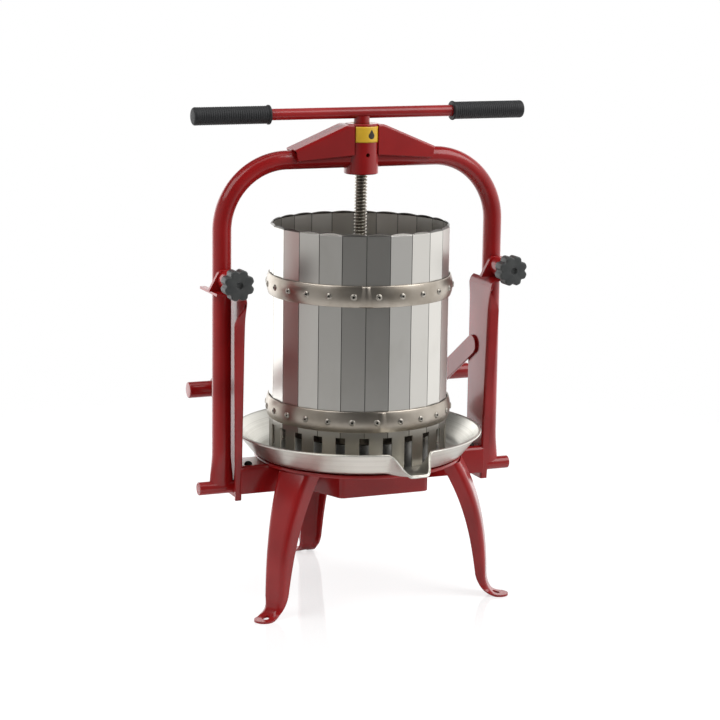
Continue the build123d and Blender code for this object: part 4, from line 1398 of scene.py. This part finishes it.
# %% Room
world = bpy.data.worlds.new("studio")
bpy.context.scene.world = world
room = Graph(world)
RIGHT_TURN, REAR_TURN = np.radians(10), np.radians(110)
RIGHT = (np.cos(RIGHT_TURN), np.sin(RIGHT_TURN), 0.0)
REAR = (np.cos(REAR_TURN), np.sin(REAR_TURN), 0.0)
ROOM_DARK, ROOM_RIGHT, ROOM_REAR, ROOM_WINDOW = 0.1, 1.0, 0.85, 1.2
CEILING, SKYLIGHT = 0.1, 1.3
REAR_RUN, WINDOW_EDGE, RIGHT_RUN = (-0.75, 1.0), (0.87, 0.97), (-0.12, 0.95)
CEILING_EDGE, RIGHT_TOP, SKYLIGHT_EDGE = (0.3, 0.4), (0.5, 0.8), (0.86, 0.96)


def towards(side):
    """How far a direction of the room points to one side, from -1 to 1."""
    settings = {"operation": "DOT_PRODUCT"}
    return room.node("ShaderNodeVectorMath", settings, {0: heading, 1: side}, output="Value")


heading = room.node("ShaderNodeTexCoord", output="Generated")
_, _, up = room.axes(heading)
rear_share = room.node("ShaderNodeMapRange", sockets={0: towards(REAR), 1: REAR_RUN[0], 2: REAR_RUN[1]})
window = room.between(towards(REAR), *WINDOW_EDGE) * ROOM_WINDOW
rear = ROOM_DARK + rear_share * ROOM_REAR + window
right = room.between(towards(RIGHT), *RIGHT_RUN) * ROOM_RIGHT
below_ceiling = 1 - room.between(up, *CEILING_EDGE) * (1 - CEILING)
level = rear * below_ceiling + right * (1 - room.between(up, *RIGHT_TOP))
level = level + room.between(up, *SKYLIGHT_EDGE) * SKYLIGHT
camera_ray = room.node("ShaderNodeLightPath", output="Is Camera Ray")
seen = camera_ray + (1 - camera_ray) * level
backdrop = room.tree.nodes["Background"]
room.feed(backdrop.inputs["Strength"], seen)
room.feed(backdrop.inputs["Color"], (1, 1, 1))
print("room of", len(room.tree.nodes), "nodes")

# %% [markdown]
# The floor
#
# The floor is a pale disc that keeps the press's faint shadow and a faint mirror image, and fades into the
# white backdrop before its edge. Part of what the camera sees on it is plain white light, so it is white
# without more light on the press.

# %% Floor
FLOOR_RADIUS = 1.3
FLOOR_FADE = (0.5, 1.2)
FLOOR_GREY, FLOOR_ROUGH, FLOOR_GLOW = (0.88, 0.88, 0.88), 0.06, 1.3
GLOW_SEEN, GLOW_MIRRORED = 0.5, 0.15
floor_mesh = new_mesh("floor", turned([(0, 0), (FLOOR_RADIUS / MM, 0)], steps=96))
floor = bpy.data.objects.new("floor", floor_mesh)
bpy.context.scene.collection.objects.link(floor)
ground = new_finish("studio_floor")
x, y, _ = ground.axes(ground.place())
reach = ground.node("ShaderNodeMath", {"operation": "SQRT"}, {0: x * x + y * y})
settle(ground, Base_Color=FLOOR_GREY, Roughness=FLOOR_ROUGH, Specular_IOR_Level=0.5)
white = ground.node("ShaderNodeEmission", sockets={"Color": (1, 1, 1), "Strength": FLOOR_GLOW})
clear = ground.node("ShaderNodeBsdfTransparent")
camera_ray = ground.node("ShaderNodeLightPath", output="Is Camera Ray")
glossy_ray = ground.node("ShaderNodeLightPath", output="Is Glossy Ray")
lit = Wire(ground, ground.tree.nodes["Principled BSDF"].outputs[0])
glow = camera_ray * GLOW_SEEN + glossy_ray * GLOW_MIRRORED
shown = ground.node("ShaderNodeMixShader", sockets={0: glow, 1: lit, 2: white})
fade = ground.between(reach, *FLOOR_FADE)
faded = ground.node("ShaderNodeMixShader", sockets={0: fade, 1: shown, 2: clear})
ground.feed(ground.tree.nodes["Material Output"].inputs["Surface"], faded)
floor.data.materials.append(ground.owner)
print("floor of radius", FLOOR_RADIUS, "m")

# %% [markdown]
# Lamps
#
# Two large soft lamps, high on the left and at the right front, shape the paint. They stand high, because a
# low lamp would show as a pale patch on the legs.

# %% Lamps
LAMP_AIM = np.array([0, 0, 0.3])
LAMP_SIZE = 1.8


def soft_lamp(name, place, watts):
    """A square area lamp at a place, turned to face the press."""
    lamp = bpy.data.lights.new(name, "AREA")
    lamp.size = LAMP_SIZE
    lamp.energy = watts
    holder = bpy.data.objects.new(name, lamp)
    bpy.context.scene.collection.objects.link(holder)
    away = np.array(place) - LAMP_AIM
    away /= np.linalg.norm(away)
    side = np.cross([0, 0, 1], away)
    side /= np.linalg.norm(side)
    turn = np.eye(4)
    turn[:3, :3] = np.stack([side, np.cross(away, side), away], axis=1)
    turn[:3, 3] = place
    holder.matrix_world = Matrix(turn)


soft_lamp("left softbox", place=(-1.8, -0.3, 2.3), watts=29)
soft_lamp("right softbox", place=(1.5, -1.3, 2.2), watts=40)
print("studio with", len(bpy.data.lights), "lamps")

# %% [markdown]
# Camera
#
# The camera stands to the left of the spout, a little above the tray, far enough away for a calm
# perspective. Its distance, height and lens were worked out from the places of the pieces in the picture.

# %% Camera
FOCAL_PX, IMAGE_PX, SENSOR_MM = 2264.27, 720, 36
CAMERA_TURN, CAMERA_RISE, CAMERA_ROLL = np.radians([22.92, 11.36, 0.79])
CAMERA_DISTANCE = 2.79122
AIM_HEIGHT = 0.28529
AXIS_PX = (-1.64, 4.73)
away = np.array([-np.sin(CAMERA_TURN) * np.cos(CAMERA_RISE), -np.cos(CAMERA_TURN) * np.cos(CAMERA_RISE),
                 np.sin(CAMERA_RISE)])
level_side = np.array([np.cos(CAMERA_TURN), -np.sin(CAMERA_TURN), 0])
level_up = np.cross(away, level_side)
lens = bpy.data.cameras.new("camera")
lens.sensor_width = SENSOR_MM
lens.lens = SENSOR_MM * FOCAL_PX / IMAGE_PX
lens.shift_x = -AXIS_PX[0] / IMAGE_PX
lens.shift_y = AXIS_PX[1] / IMAGE_PX
stand = np.eye(4)
stand[:3, 0] = np.cos(CAMERA_ROLL) * level_side + np.sin(CAMERA_ROLL) * level_up
stand[:3, 1] = np.cos(CAMERA_ROLL) * level_up - np.sin(CAMERA_ROLL) * level_side
stand[:3, 2] = away
stand[:3, 3] = np.array([0, 0, AIM_HEIGHT]) + CAMERA_DISTANCE * away
camera = bpy.data.objects.new("camera", lens)
camera.matrix_world = Matrix(stand)
bpy.context.scene.collection.objects.link(camera)
bpy.context.scene.camera = camera
bpy.context.scene.view_settings.view_transform = "Standard"
print("camera at", np.round(stand[:3, 3], 3))

# %% [markdown]
# Sizes
#
# The dressed press should keep to the CAD model's box, give or take a sheet's thickness.
